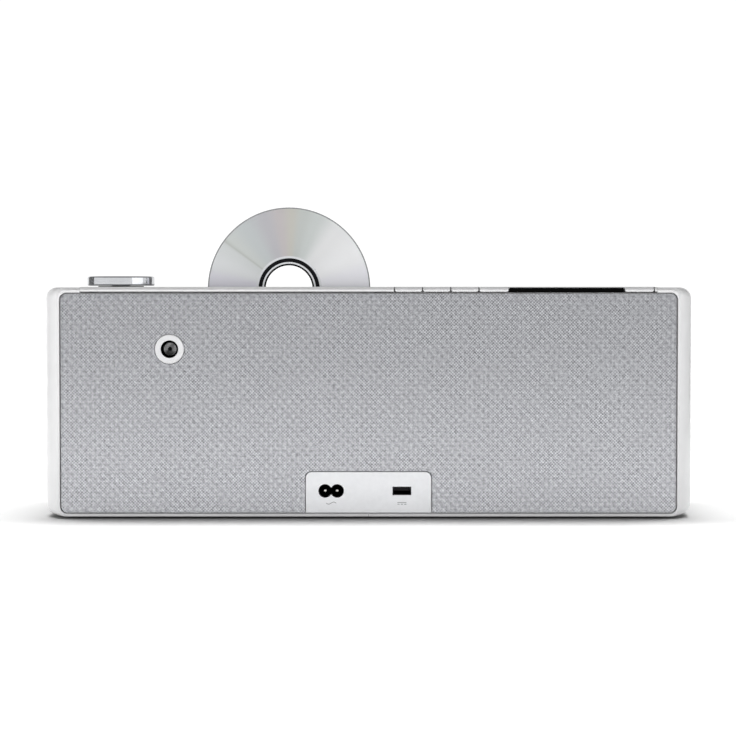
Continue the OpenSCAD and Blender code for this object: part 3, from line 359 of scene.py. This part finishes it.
# ---- Top plate -------------------------------------------------------------------------------
# A flat white plate let into the casing's top. Its back edge is bevelled and shows above the
# cloth, and it is cut out for the slot, the keys, the display and the knob's bush.


def like(node):
    """The shape of a CAD node in millimetres, with its loose triangles joined and its flat faces
    whole."""
    shape = bmesh.new()
    shape.from_mesh(parts[node].data)
    bmesh.ops.scale(shape, vec=(1000, 1000, 1000), verts=shape.verts)
    bmesh.ops.remove_doubles(shape, verts=shape.verts, dist=1e-3)
    bmesh.ops.dissolve_limit(shape, angle_limit=radians(0.4), verts=shape.verts,
                             edges=shape.edges)
    return shape


def soften(shape, radius, where, segments=3, along=None):
    """Rounds the sharp edges whose two ends both lie where the test says, or of these only the
    ones that run along an axis. One segment makes a flat bevel."""
    edges = [e for e in shape.edges
             if len(e.link_faces) == 2 and e.calc_face_angle(0) > radians(35)
             and all(where(v.co) for v in e.verts)
             and (not along
                  or abs((e.verts[1].co - e.verts[0].co).normalized().dot(along)) > 0.99)]
    bmesh.ops.bevel(shape, geom=edges, offset=radius, offset_type="OFFSET", affect="EDGES",
                    segments=segments, profile=0.5, material=-1, clamp_overlap=True)


satin_white = coating("plate_white", (0.78, 0.78, 0.785), (0.82, 0.82, 0.825), 300, (0.38, 0.5),
                      relief=5e-6, relief_grain=4000)
near_top, near_back, eased = 165.4, -74.9, 0.25
plate = like("top_plate")
soften(plate, top_bevel, lambda p: p.z > near_top and p.y < near_back, 1)
soften(plate, eased, lambda p: p.z > near_top and p.y > -73, 2)
lower_edge_lift = 0.7
for point in plate.verts:
    if point.co.z < 162 and point.co.y < near_back:
        point.co.z += lower_edge_lift
put("top_deck", plate, satin_white, "housing", "plate_white", "top_plate")


# ---- Slot ------------------------------------------------------------------------------------
# A dark moulded frame lines the slot, and two strips of black felt wipe the disc.

moulded_dark = coating("dark_plastic", (0.014, 0.014, 0.016), (0.026, 0.026, 0.029), 700,
                       (0.4, 0.55), relief=1e-5, relief_grain=5000)
lip = like("slot_lip")
soften(lip, eased, lambda p: p.z > near_top, 2)
put("slot_frame", lip, moulded_dark, "housing", "dark_plastic", "slot_lip")
felt = coating("felt_black", (0.008, 0.008, 0.009), (0.04, 0.04, 0.042), 2500, (0.9, 1.0),
               relief=2e-4, relief_grain=6000, sockets={"Sheen Weight": 0.5})
dress("dust_felts", felt)


# ---- Keys ------------------------------------------------------------------------------------
# Five white keys in a row at the back edge, moulded with a bevelled top edge and a skirt that
# hangs down over the casing's rim. Thin gaps part them.

key_white = coating("key_white", (0.78, 0.78, 0.79), (0.83, 0.83, 0.84), 500, (0.34, 0.44),
                    relief=4e-6, relief_grain=6000)
inner_edge, skirt_corner = 0.35, 1.3
for key in ("key_1", "key_2", "key_3", "key_4", "end_key"):
    cap = like(key)
    soften(cap, top_bevel, lambda p: p.z > near_top and p.y < near_back, 1)
    soften(cap, inner_edge, lambda p: p.z > near_top and p.y > -73.3, 2)
    soften(cap, skirt_corner, lambda p: p.z < 162.6 and p.y < -72.5, 3,
           along=Vector((0, 1, 0)))
    put(key + "_cap", cap, key_white, key, "key_white", key)


# ---- Control board ---------------------------------------------------------------------------
# A green lacquered board hangs under the top plate behind the keys, with a black tactile switch
# under each key.


def board_finish(name, turn, thin, levels):
    """Solder mask with fine copper tracks under it, turned to lie in the board. Past each level
    along the board's thin axis, in metres, other parts begin."""
    made = coating(name, (0.006, 0.05, 0.02), (0.012, 0.085, 0.034), 350, (0.3, 0.4),
                   relief=2e-5, relief_grain=1200)
    nodes, links = made.node_tree.nodes, made.node_tree.links
    place = nodes["Texture Coordinate"].outputs["Object"]
    mask = nodes["Color Ramp"].outputs["Color"]
    tracks = nodes.new("ShaderNodeTexBrick")
    tracks.inputs["Scale"].default_value = 60
    tracks.inputs["Mortar Size"].default_value = 0.012
    tracks.inputs["Mortar"].default_value = (0.03, 0.17, 0.07, 1)
    turned = nodes.new("ShaderNodeMapping")
    turned.inputs["Rotation"].default_value = turn
    links.new(place, turned.inputs["Vector"])
    links.new(turned.outputs["Vector"], tracks.inputs["Vector"])
    links.new(mask, tracks.inputs["Color1"])
    links.new(mask, tracks.inputs["Color2"])
    apart = nodes.new("ShaderNodeSeparateXYZ")
    links.new(place, apart.inputs["Vector"])
    shade = tracks.outputs["Color"]
    for level, tone in levels:
        past = nodes.new("ShaderNodeMath")
        past.operation = "GREATER_THAN"
        past.inputs[1].default_value = level
        links.new(apart.outputs[thin], past.inputs[0])
        part = nodes.new("ShaderNodeMix")
        part.data_type = "RGBA"
        part.inputs["B"].default_value = (*tone, 1)
        links.new(past.outputs["Value"], part.inputs["Factor"])
        links.new(shade, part.inputs["A"])
        shade = part.outputs["Result"]
    links.new(shade, nodes["Principled BSDF"].inputs["Base Color"])
    return made


lying = (0, 0, 0)
switch_bodies, switch_plungers = (0.1500, (0.012, 0.012, 0.013)), (0.15999, (0.05, 0.05, 0.052))
dress("control_board", board_finish("control_board_green", lying, "Z", []))
dress("key_switches", board_finish("switch_black", lying, "Z", [switch_bodies, switch_plungers]))


# ---- Display ---------------------------------------------------------------------------------
# A strip of black glass lies a little below the keys, on a black bezel with the dark panel under
# it. Their back edges are masked dull black.

black_glass = coating("display_black_glass", (0.003, 0.003, 0.004), (0.006, 0.006, 0.007), 90,
                      (0.05, 0.1),
                      sockets={"Coat Weight": 0.5, "Coat Roughness": 0.03, "IOR": 1.52})
edge_black = coating("edge_black", (0.001, 0.001, 0.001), (0.003, 0.003, 0.003), 800,
                     (0.75, 0.9), sockets={"Specular IOR Level": 0.03})
pane = like("display_glass")
soften(pane, eased, lambda p: True, 2)
bezel = like("display_bezel")
soften(bezel, 0.2, lambda p: p.z > 163 and p.y < near_back, 2)
for shape in (pane, bezel):
    for face in shape.faces:
        face.material_index = face.calc_center_median().y < -74.7
put("display_pane", pane, [black_glass, edge_black], "housing", "display_black_glass",
    "display_glass")
put("display_frame", bezel, [moulded_dark, edge_black], "housing", "dark_plastic",
    "display_bezel")
dress("lcd_panel", coating("lcd_dark", (0.012, 0.014, 0.02), (0.02, 0.024, 0.034), 1200,
                           (0.2, 0.3), stretch=(1, 8, 1)))


# ---- Knob ------------------------------------------------------------------------------------
# A chrome-plated ring turned with soft edges, with a spun face let into its top. It stands over
# a dark collar on the encoder's shaft, and a thin gap shows under it. The collar's dark colour
# is painted shade, standing in for the shadow under the knob.

knob_at = (-181.5, -25, 0)
knob_half, knob_low, knob_high, knob_edge = 24.55, 166.3, 173.1, 1.1
bore, face_seat, socket, socket_top, stem = 22.55, 172.3, 3.05, 170.9, 5
chrome = coating("knob_chrome", (0.54, 0.55, 0.57), (0.59, 0.6, 0.62), 120, (0.06, 0.1),
                 metal=1.0)
edge_middle = knob_half - knob_edge
arc = [radians(a) for a in range(0, 91, 15)]
foot = [(edge_middle + knob_edge * sin(a), knob_low + knob_edge * (1 - cos(a))) for a in arc]
brow = [(edge_middle + knob_edge * cos(a), knob_high - knob_edge * (1 - sin(a))) for a in arc]
grip = spun(foot + brow + [(bore, knob_high), (bore, face_seat), (0, face_seat), (0, socket_top),
                           (socket, socket_top), (socket, 168.5), (stem, 168.5), (stem, 170.7),
                           (17.6, 170.7), (17.6, knob_low)], knob_at, steps=128)
put("knob_grip", grip, chrome, "knob", "knob_chrome", "knob_ring")

spun_face = coating("knob_spun", (0.6, 0.6, 0.61), (0.72, 0.72, 0.73), 300, (0.2, 0.3),
                    metal=1.0)
tree = spun_face.node_tree
shift = tree.nodes.new("ShaderNodeMapping")
shift.inputs["Location"].default_value = (0.1815, 0.025, 0)
shift.inputs["Scale"].default_value = (1, 1, 0)
span = tree.nodes.new("ShaderNodeVectorMath")
span.operation = "LENGTH"
grooves = tree.nodes.new("ShaderNodeTexNoise")
grooves.noise_dimensions = "1D"
grooves.inputs["Scale"].default_value = 2600
bump = tree.nodes.new("ShaderNodeBump")
bump.inputs["Distance"].default_value = 2e-5
tree.links.new(tree.nodes["Texture Coordinate"].outputs["Object"], shift.inputs["Vector"])
tree.links.new(shift.outputs["Vector"], span.inputs[0])
tree.links.new(span.outputs["Value"], grooves.inputs["W"])
tree.links.new(grooves.outputs["Fac"], bump.inputs["Height"])
tree.links.new(bump.outputs["Normal"], tree.nodes["Principled BSDF"].inputs["Normal"])
face_half = 22.49
face = spun([(0, face_seat), (face_half, face_seat), (face_half, knob_high - 0.25),
             (face_half - 0.25, knob_high), (0, knob_high)], knob_at, steps=128)
put("knob_top", face, spun_face, "knob", "knob_spun", "knob_face")

collar = like("knob_collar")
soften(collar, 0.15, lambda p: p.z > 166, 2)
# Painted shade: the collar is coloured dark to stand for the shadow in the gap under the knob.
put("knob_skirt", collar, moulded_dark, "housing", "guide_plastic", "knob_collar")
dress("encoder_body", coating("encoder_steel", (0.42, 0.42, 0.43), (0.56, 0.56, 0.57), 400,
                              (0.3, 0.45), metal=1.0, relief=8e-6, relief_grain=3000))
ground_steel = coating("bright_steel", (0.55, 0.56, 0.57), (0.7, 0.71, 0.72), 500, (0.16, 0.26),
                       metal=1.0, relief=4e-6, relief_grain=6000, stretch=(0.2, 1, 1))
dress("encoder_shaft", ground_steel)


# ---- Disc ------------------------------------------------------------------------------------
# One clear moulded disc with a silvered band, a dark ring round its clear middle and a thin
# clear edge. It stands half out of the slot. The colour of its silver carries painted
# reflections: faint coloured wedges, and lighter and darker sectors round its middle.

disc_at = (-58.7, -13, 164)
disc_silver = bpy.data.materials.new("disc_silver")
disc_silver.use_nodes = True
tree = disc_silver.node_tree
shader = tree.nodes["Principled BSDF"]
place = tree.nodes.new("ShaderNodeTexCoord")
shift = tree.nodes.new("ShaderNodeMapping")
shift.inputs["Location"].default_value = (0.0587, -0.164, 0)
shift.inputs["Rotation"].default_value = (radians(-90), 0, 0)
turn = tree.nodes.new("ShaderNodeTexGradient")
turn.gradient_type = "RADIAL"
painted_reflection_tints = tree.nodes.new("ShaderNodeValToRGB")
painted_reflection_tints.color_ramp.interpolation = "EASE"
# Painted reflection: the silver's colour turns round the disc's middle through faint coloured
# wedges and lighter and darker sectors, standing in for the light the disc throws back.
painted_reflection_wedges = (
    (0.0, 0.7, 0.69, 0.75), (0.25, 0.68, 0.68, 0.71), (0.5, 0.79, 0.79, 0.83),
    (0.53, 0.8, 0.8, 0.84), (0.57, 0.82, 0.825, 0.835), (0.64, 0.74, 0.745, 0.75),
    (0.69, 0.56, 0.59, 0.58), (0.72, 0.515, 0.54, 0.525), (0.745, 0.535, 0.525, 0.485),
    (0.77, 0.525, 0.495, 0.5), (0.80, 0.49, 0.485, 0.51), (0.85, 0.53, 0.56, 0.565),
    (0.892, 0.58, 0.605, 0.59), (0.8985, 0.49, 0.51, 0.49), (0.904, 0.62, 0.64, 0.64),
    (0.95, 0.7, 0.715, 0.725), (0.98, 0.69, 0.685, 0.74), (1.0, 0.7, 0.69, 0.75))
stops = painted_reflection_tints.color_ramp.elements
for at, *reflected_tone in painted_reflection_wedges:
    stop = stops[0 if at == 0 else -1] if at in (0, 1) else stops.new(at)
    stop.position, stop.color = at, (*reflected_tone, 1)
tree.links.new(place.outputs["Object"], shift.inputs["Vector"])
tree.links.new(shift.outputs["Vector"], turn.inputs["Vector"])
tree.links.new(turn.outputs["Fac"], painted_reflection_tints.inputs["Fac"])
tree.links.new(painted_reflection_tints.outputs["Color"], shader.inputs["Base Color"])
smear = tree.nodes.new("ShaderNodeTexNoise")
smear.inputs["Scale"].default_value = 18
dull = tree.nodes.new("ShaderNodeMapRange")
remap(dull, (0, 1), (0.3, 0.36))
tree.links.new(place.outputs["Object"], smear.inputs["Vector"])
tree.links.new(smear.outputs["Fac"], dull.inputs["Value"])
tree.links.new(dull.outputs["Result"], shader.inputs["Roughness"])
shader.inputs["Metallic"].default_value = 0.85
disc_dark = coating("disc_dark_ring", (0.002, 0.002, 0.003), (0.006, 0.006, 0.009), 200,
                    (0.3, 0.4), sockets={"Specular IOR Level": 0.1})
disc_clear = coating("disc_clear", (0.97, 0.97, 0.97), (1, 1, 1), 100, (0.0, 0.03),
                     sockets={"Transmission Weight": 1.0, "IOR": 1.15})
disc_edge = coating("disc_edge", (0.25, 0.26, 0.265), (0.31, 0.32, 0.325), 300, (0.25, 0.35))
disc_inner = coating("disc_inner_band", (0.66, 0.67, 0.69), (0.72, 0.73, 0.75), 150,
                     (0.26, 0.34), metal=0.85)
bands = ((7.5, disc_clear), (17.3, disc_dark), (18.6, disc_inner), (19.8, disc_dark),
         (22.6, disc_inner), (24.2, disc_silver), (59.1, disc_edge))
disc_half, face_at, edge_at = 60, 0.6, 0.45
platter = spun([(r, -face_at) for r, _ in bands] + [(disc_half, -edge_at), (disc_half, edge_at)]
               + [(r, face_at) for r, _ in reversed(bands)], disc_at, upright=False, steps=144)
for face in platter.faces:
    r = (face.calc_center_median() - Vector(disc_at)).xz.length
    face.material_index = max(i for i, (start, _) in enumerate(bands) if start < r + 0.1)
put("compact_disc", platter, [finish for _, finish in bands], "disc", "disc_silver", "disc")


# ---- Disc drive ------------------------------------------------------------------------------
# A folded sheet steel frame stands on four rubber dampers on the floor, round the slot's path. A
# clamp plate at its front holds the clamper, and a moulded guide at its top leads the disc
# between the rollers.

dress("drive_frame", coating("frame_steel", (0.38, 0.39, 0.40), (0.54, 0.55, 0.56), 110,
                             (0.28, 0.44), metal=1.0, relief=1.5e-5, relief_grain=1800,
                             stretch=(0.15, 1, 1)))
dress("drive_dampers", pad_rubber)
dress("clamp_plate", plated)
guide_plastic = coating("guide_plastic", (0.026, 0.026, 0.028), (0.045, 0.045, 0.048), 600,
                        (0.42, 0.55), relief=1.2e-5, relief_grain=4000)
dress("clamper", guide_plastic)
dress("disc_guide", guide_plastic)


# ---- Feed roller and motor -------------------------------------------------------------------
# Two ground rubber sleeves on a steel shaft draw the disc in. A square belt drives the shaft
# from the brass pulley of a small can motor.

dress("roller_shaft", ground_steel)
dress("roller_rubber", coating("roller_rubber", (0.022, 0.022, 0.023), (0.04, 0.04, 0.041), 1200,
                               (0.6, 0.8), relief=2.5e-5, relief_grain=7000,
                               stretch=(3, 1, 1)))
dress("drive_belt", coating("belt_rubber", (0.016, 0.016, 0.017), (0.03, 0.03, 0.031), 800,
                            (0.5, 0.65), relief=1.5e-5, relief_grain=3000))
dress("motor_pulley", coating("pulley_brass", (0.5, 0.33, 0.11), (0.68, 0.47, 0.18), 400,
                              (0.18, 0.3), metal=1.0, relief=6e-6, relief_grain=5000,
                              stretch=(4, 1, 1)))
drawn_steel = coating("motor_steel", (0.44, 0.45, 0.46), (0.6, 0.61, 0.62), 250, (0.22, 0.36),
                      metal=1.0, relief=8e-6, relief_grain=2500, stretch=(0.2, 1, 1))
dress("loading_motor", drawn_steel)


# ---- Reading unit ----------------------------------------------------------------------------
# A steel plate carries the spindle motor with its turntable, and two ground rods that the lens
# sled slides on. A lead screw with its own motor moves the sled.


def rib(finish, count, depth):
    """Gives a finish fine ribs across X: so many in a metre, and their depth in metres."""
    tree = finish.node_tree
    ribs = tree.nodes.new("ShaderNodeTexWave")
    ribs.inputs["Scale"].default_value = count * tau / 20
    rise = tree.nodes.new("ShaderNodeBump")
    rise.inputs["Distance"].default_value = depth
    tree.links.new(tree.nodes["Texture Coordinate"].outputs["Object"], ribs.inputs["Vector"])
    tree.links.new(ribs.outputs["Fac"], rise.inputs["Height"])
    tree.links.new(rise.outputs["Normal"], tree.nodes["Principled BSDF"].inputs["Normal"])


dress("traverse_plate", plated)
for motor in ("spindle_motor", "sled_motor"):
    dress(motor, drawn_steel)
dress("turntable", guide_plastic)
dress("guide_rods", ground_steel)
dress("pickup_sled", coating("sled_zinc", (0.11, 0.11, 0.12), (0.2, 0.2, 0.21), 500, (0.4, 0.6),
                             metal=0.6, relief=2e-5, relief_grain=2500))
screw_steel = coating("screw_steel", (0.5, 0.51, 0.52), (0.66, 0.67, 0.68), 600, (0.18, 0.28),
                      metal=1.0)
rib(screw_steel, 333, 3e-4)
dress("lead_screw", screw_steel)


# ---- Back panel ------------------------------------------------------------------------------
# A board of dark pressed wood fibre closes the back behind the cloth, cut out for the sockets.

fibreboard = coating("panel_board", (0.016, 0.015, 0.014), (0.04, 0.037, 0.034), 800,
                     (0.75, 0.9), relief=4e-5, relief_grain=1800, stretch=(0.6, 1, 1))
dress("rear_panel", fibreboard)


# ---- Cloth panels ----------------------------------------------------------------------------
# Flecked grey acoustic cloth, a plain weave of light and dark yarn, stretched over a stiff panel
# at the back and over the speaker baffle at the front, and wrapped round their edges.


def beat(tree, where, across, up):
    """A wave across the cloth, with this many crests in a millimetre sideways and upwards."""
    along = tree.nodes.new("ShaderNodeVectorMath")
    along.operation = "DOT_PRODUCT"
    along.inputs[1].default_value = (tau * across, 0, tau * up)
    tree.links.new(where, along.inputs[0])
    wave = tree.nodes.new("ShaderNodeMath")
    wave.operation = "SINE"
    tree.links.new(along.outputs["Value"], wave.inputs[0])
    return wave.outputs["Value"]


def combine(tree, operation, one, other):
    """Adds or multiplies two values, each a socket or a number."""
    sum_up = tree.nodes.new("ShaderNodeMath")
    sum_up.operation = operation
    for end, value in enumerate((one, other)):
        if isinstance(value, float):
            sum_up.inputs[end].default_value = value
        else:
            tree.links.new(value, sum_up.inputs[end])
    return sum_up.outputs["Value"]


woven = bpy.data.materials.new("speaker_cloth")
woven.use_nodes = True
tree = woven.node_tree
shader = tree.nodes["Principled BSDF"]
place = tree.nodes.new("ShaderNodeTexCoord")
fine = tree.nodes.new("ShaderNodeMapping")
fine.inputs["Scale"].default_value = (1000, 1000, 1000)
tree.links.new(place.outputs["Object"], fine.inputs["Vector"])
slack = tree.nodes.new("ShaderNodeTexNoise")
slack.inputs["Scale"].default_value = 0.2
tree.links.new(fine.outputs["Vector"], slack.inputs["Vector"])
wander = tree.nodes.new("ShaderNodeVectorMath")
wander.operation = "ADD"
tree.links.new(fine.outputs["Vector"], wander.inputs[0])
tree.links.new(slack.outputs["Color"], wander.inputs[1])
where = wander.outputs["Vector"]
patch = tree.nodes.new("ShaderNodeTexNoise")
patch.inputs["Scale"].default_value = 0.075
tree.links.new(where, patch.inputs["Vector"])
flecks = []
for stretch in ((0.95, 0.5, 0.5), (0.5, 0.5, 0.95)):
    drawn = tree.nodes.new("ShaderNodeMapping")
    drawn.inputs["Scale"].default_value = stretch
    fleck = tree.nodes.new("ShaderNodeTexNoise")
    fleck.inputs["Scale"].default_value = 1
    fleck.inputs["Detail"].default_value = 2
    tree.links.new(where, drawn.inputs["Vector"])
    tree.links.new(drawn.outputs["Vector"], fleck.inputs["Vector"])
    flecks.append(fleck.outputs["Fac"])

yarn_pitch, fleck_depth, darker = 0.45, 0.66, -0.165
streaks = ((0.155, 0.142, 0.078), (0.155, -0.142, 0.045), (0.3, 0, 0.055), (0, 0.3, 0.055))
crossing = combine(tree, "MULTIPLY", beat(tree, where, yarn_pitch, 0),
                   beat(tree, where, 0, yarn_pitch))
patchy = tree.nodes.new("ShaderNodeMapRange")
remap(patchy, (0.38, 0.62), (0.05, 0.42))
tree.links.new(patch.outputs["Fac"], patchy.inputs["Value"])
shade = combine(tree, "MULTIPLY", crossing, patchy.outputs["Result"])
for across, up, depth in streaks:
    streak = combine(tree, "MULTIPLY", beat(tree, where, across, up), depth)
    shade = combine(tree, "ADD", shade, streak)
for fleck in flecks:
    shade = combine(tree, "ADD", shade, combine(tree, "MULTIPLY", fleck, fleck_depth))
shade = combine(tree, "ADD", shade, darker)
dark_yarn, light_yarn = (0.118, 0.119, 0.126, 1), (0.512, 0.519, 0.544, 1)
yarns = tree.nodes.new("ShaderNodeValToRGB")
yarns.color_ramp.elements[0].color = dark_yarn
yarns.color_ramp.elements[1].color = light_yarn
tree.links.new(shade, yarns.inputs["Fac"])
tree.links.new(yarns.outputs["Color"], shader.inputs["Base Color"])
relief = tree.nodes.new("ShaderNodeBump")
relief.inputs["Distance"].default_value = 1.2e-4
relief.inputs["Strength"].default_value = 0.5
tree.links.new(crossing, relief.inputs["Height"])
tree.links.new(relief.outputs["Normal"], shader.inputs["Normal"])
shader.inputs["Roughness"].default_value = 0.92
shader.inputs["Sheen Weight"].default_value = 0.15

wrap_radius = 1.1
back_cloth = like("rear_cloth")
soften(back_cloth, wrap_radius, lambda p: p.y < -74.15, 4)
back_cloth = put("back_cloth", back_cloth, woven, "housing", "speaker_cloth", "rear_cloth")
strip_light = (0.9, 0.01)
lamp("cloth_lamp", "AREA", (0, -0.195, 0.008), (0, -0.07, 0.008), 0.45, strip_light,
     only=back_cloth)
fore_cloth = like("front_cloth")
soften(fore_cloth, wrap_radius, lambda p: p.y > 74.15, 4)
fore_cloth = put("fore_cloth", fore_cloth, woven, "housing", "speaker_cloth", "front_cloth")


# ---- Socket plate ----------------------------------------------------------------------------
# A white moulded plate set flush in a notch of the cloth, with rounded upper corners and sharp
# holes for the two sockets. The black inlet has two plated pins, and the other socket a
# near-black metal shell round a black tongue.

socket_white = coating("socket_white", (0.82, 0.828, 0.846), (0.855, 0.863, 0.881), 260,
                       (0.4, 0.5), relief=4e-6, relief_grain=5000)
plate = like("socket_plate")
soften(plate, 0.6, lambda p: p.y < -74.1 and (abs(p.x) > 40 or p.z > 30), 3)
socket_panel = put("socket_panel", plate, socket_white, "housing", "socket_white",
                   "socket_plate")
lamp("plate_lamp", "AREA", (0, -0.195, 0.006), (0, -0.07, 0.006), 0.075, strip_light,
     only=socket_panel)

inlet_black = coating("inlet_black", (0.004, 0.004, 0.005), (0.010, 0.010, 0.011), 900,
                      (0.35, 0.5), relief=6e-6, relief_grain=4000,
                      sockets={"Specular IOR Level": 0.2})
put("mains_socket", like("mains_inlet"), inlet_black, "housing", "dark_plastic", "mains_inlet")
pin_metal = coating("contact_metal", (0.62, 0.6, 0.56), (0.72, 0.7, 0.66), 900, (0.22, 0.34),
                    metal=1.0)
pins = like("mains_pins")
soften(pins, 0.7, lambda p: p.y < -71.6, 3)
put("mains_contacts", pins, pin_metal, "housing", "contact_metal", "mains_pins")
# The shell's metal is coloured near black.
dress("usb_shell", coating("near_black_shell_metal", (0.02, 0.02, 0.022), (0.04, 0.04, 0.043), 700,
                           (0.35, 0.5), metal=0.8))
dress("usb_tongue", coating("tongue_black", (0.004, 0.004, 0.005), (0.012, 0.012, 0.013), 900,
                            (0.5, 0.6), relief=1e-5, relief_grain=3000,
                            sockets={"Specular IOR Level": 0.15}))


# ---- Printed marks ---------------------------------------------------------------------------
# Pad-printed grey ink on the socket plate: a plain wave for alternating current under the mains
# inlet, and a line over three dashes for direct current under the other socket.

ink_at, ink_thickness = -74.23, 0.02
wave_middle, wave_level, wave_half, wave_rise, wave_line = -26.7, 11.2, 3.6, 0.75, 0.26
dash_line = 0.24
dashes = ((20.6, 27, 11.6), (20.6, 22.2, 10.4), (23, 24.6, 10.4), (25.4, 27, 10.4))
marks = bmesh.new()
wave = bmesh.ops.create_grid(marks, x_segments=24, y_segments=1, size=1)["verts"]
for point in wave:
    across = point.co.x * wave_half
    level = wave_level + wave_rise * sin(across * tau / (2 * wave_half))
    point.co = (wave_middle + across, ink_at, level + wave_line * point.co.y)
for left, right, level in dashes:
    dash = bmesh.ops.create_grid(marks, x_segments=2, y_segments=1, size=1)["verts"]
    for point in dash:
        across = (left + right) / 2 + point.co.x * (right - left) / 2
        point.co = (across, ink_at, level + dash_line * point.co.y)
bmesh.ops.solidify(marks, geom=marks.faces[:], thickness=ink_thickness)
bmesh.ops.recalc_face_normals(marks, faces=marks.faces)
grey_ink = coating("grey_ink", (0.3, 0.3, 0.31), (0.36, 0.36, 0.37), 2500, (0.5, 0.65))
put("printed_marks", marks, grey_ink, "housing", "socket_white")


# ---- Antenna socket --------------------------------------------------------------------------
# A white moulded ring with a black well stands a little proud of the cloth. Down the well a
# turned nickel barrel, dished at its end, holds the contact in its dark insulator, on a black
# block. The barrel's nickel is coloured dark grey as painted shade for the depth of the well.

antenna_at = (-141.8, 0, 121.1)
well_radius, ring_radius, ring_foot_radius = 6.25, 10.4, 13.4
ring_back, ring_step, ring_front = -74.5, -70.4, -68.4
collar = spun([(well_radius, ring_front), (well_radius, ring_back + 0.2),
               (well_radius + 0.2, ring_back), (9.9, ring_back), (10.3, ring_back + 0.25),
               (ring_radius, -73.8), (ring_radius, ring_step), (ring_foot_radius, ring_step),
               (ring_foot_radius, ring_front)], antenna_at, upright=False)
ring_white = coating("ring_white", (0.76, 0.76, 0.77), (0.79, 0.79, 0.8), 300, (0.3, 0.4),
                     relief=3e-6, relief_grain=5000)
for face in collar.faces:
    middle = face.calc_center_median()
    in_well = (middle - Vector(antenna_at)).xz.length < well_radius + 0.05
    face.material_index = in_well and middle.y > -74.2
put("antenna_collar", collar, [ring_white, inlet_black], "housing", "ring_white", "antenna_ring")

# Painted shade: the nickel is coloured far darker than bare nickel, standing in for the shade
# deep in the well.
nickel_with_painted_shade = coating("antenna_metal", (0.08, 0.08, 0.082), (0.24, 0.24, 0.243), 260, (0.12, 0.22),
                 metal=0.9, relief=3e-5, relief_grain=700)
contact_hole, insulator, barrel_radius, barrel_foot = 0.8, 1.5, 4.75, -58.4
barrel = spun([(0, -62.6), (contact_hole, -62.6), (contact_hole, -68.5), (insulator, -68.5),
               (1.6, -68.65), (4.2, -69.8), (4.62, -69.72), (barrel_radius, -69.5),
               (barrel_radius, barrel_foot), (0, barrel_foot)],
              antenna_at, upright=False, steps=64)
base = bmesh.new()
block(base, (-151.2, ring_front, 111.7), (-132.4, -61.4, 130.5))
soften(base, 0.4, lambda p: True, 2)
for face in base.faces:
    face.material_index = 1
for face in barrel.faces:
    r = (face.calc_center_median() - Vector(antenna_at)).xz.length
    face.material_index = r <= insulator + 0.05
put("antenna_barrel", joined([barrel, base]), [nickel_with_painted_shade, inlet_black], "housing", "antenna_metal",
    "antenna_socket")


# ---- Front baffle ----------------------------------------------------------------------------
# A board of the same dark fibre carries both loudspeakers behind the front cloth.

dress("front_baffle", fibreboard)


# ---- Loudspeakers ----------------------------------------------------------------------------
# Two paper cones in black painted steel frames, each with a ferrite ring magnet behind and a
# rolled rubber edge, screwed to the baffle.

dress("speaker_baskets", coating("basket_paint", (0.012, 0.012, 0.013), (0.024, 0.024, 0.026),
                                 500, (0.35, 0.5), relief=2e-5, relief_grain=3500))
dress("speaker_magnets", coating("magnet_ferrite", (0.02, 0.02, 0.021), (0.045, 0.045, 0.048),
                                 900, (0.55, 0.75), metal=0.3, relief=3e-5, relief_grain=2500))
dress("speaker_surrounds", pad_rubber)
cone_paper = coating("cone_paper", (0.014, 0.014, 0.015), (0.04, 0.039, 0.038), 1400,
                     (0.8, 0.95), relief=8e-5, relief_grain=2200, stretch=(1, 0.4, 1))
for side in ("left_cone", "right_cone"):
    dress(side, cone_paper)
dress("speaker_screws", ground_steel)


# ---- Circuit boards --------------------------------------------------------------------------
# The power board lies on posts on the floor and the main board stands on posts on the back
# panel. A white ribbon joins the main board to the control board.

standing = (radians(90), 0, 0)
power_parts, power_tops = (0.01165, (0.03, 0.03, 0.033)), (0.026, (0.16, 0.15, 0.12))
main_chips, main_plugs = (-0.0527, (0.02, 0.02, 0.022)), (-0.048, (0.3, 0.3, 0.31))
dress("power_board", board_finish("power_board_green", lying, "Z", [power_parts, power_tops]))
dress("main_board", board_finish("main_board_green", standing, "Y", [main_chips, main_plugs]))
ribbon = coating("cable_white", (0.6, 0.6, 0.57), (0.7, 0.7, 0.67), 300, (0.4, 0.5))
rib(ribbon, 1000, 2e-4)
dress("ribbon_cable", ribbon)
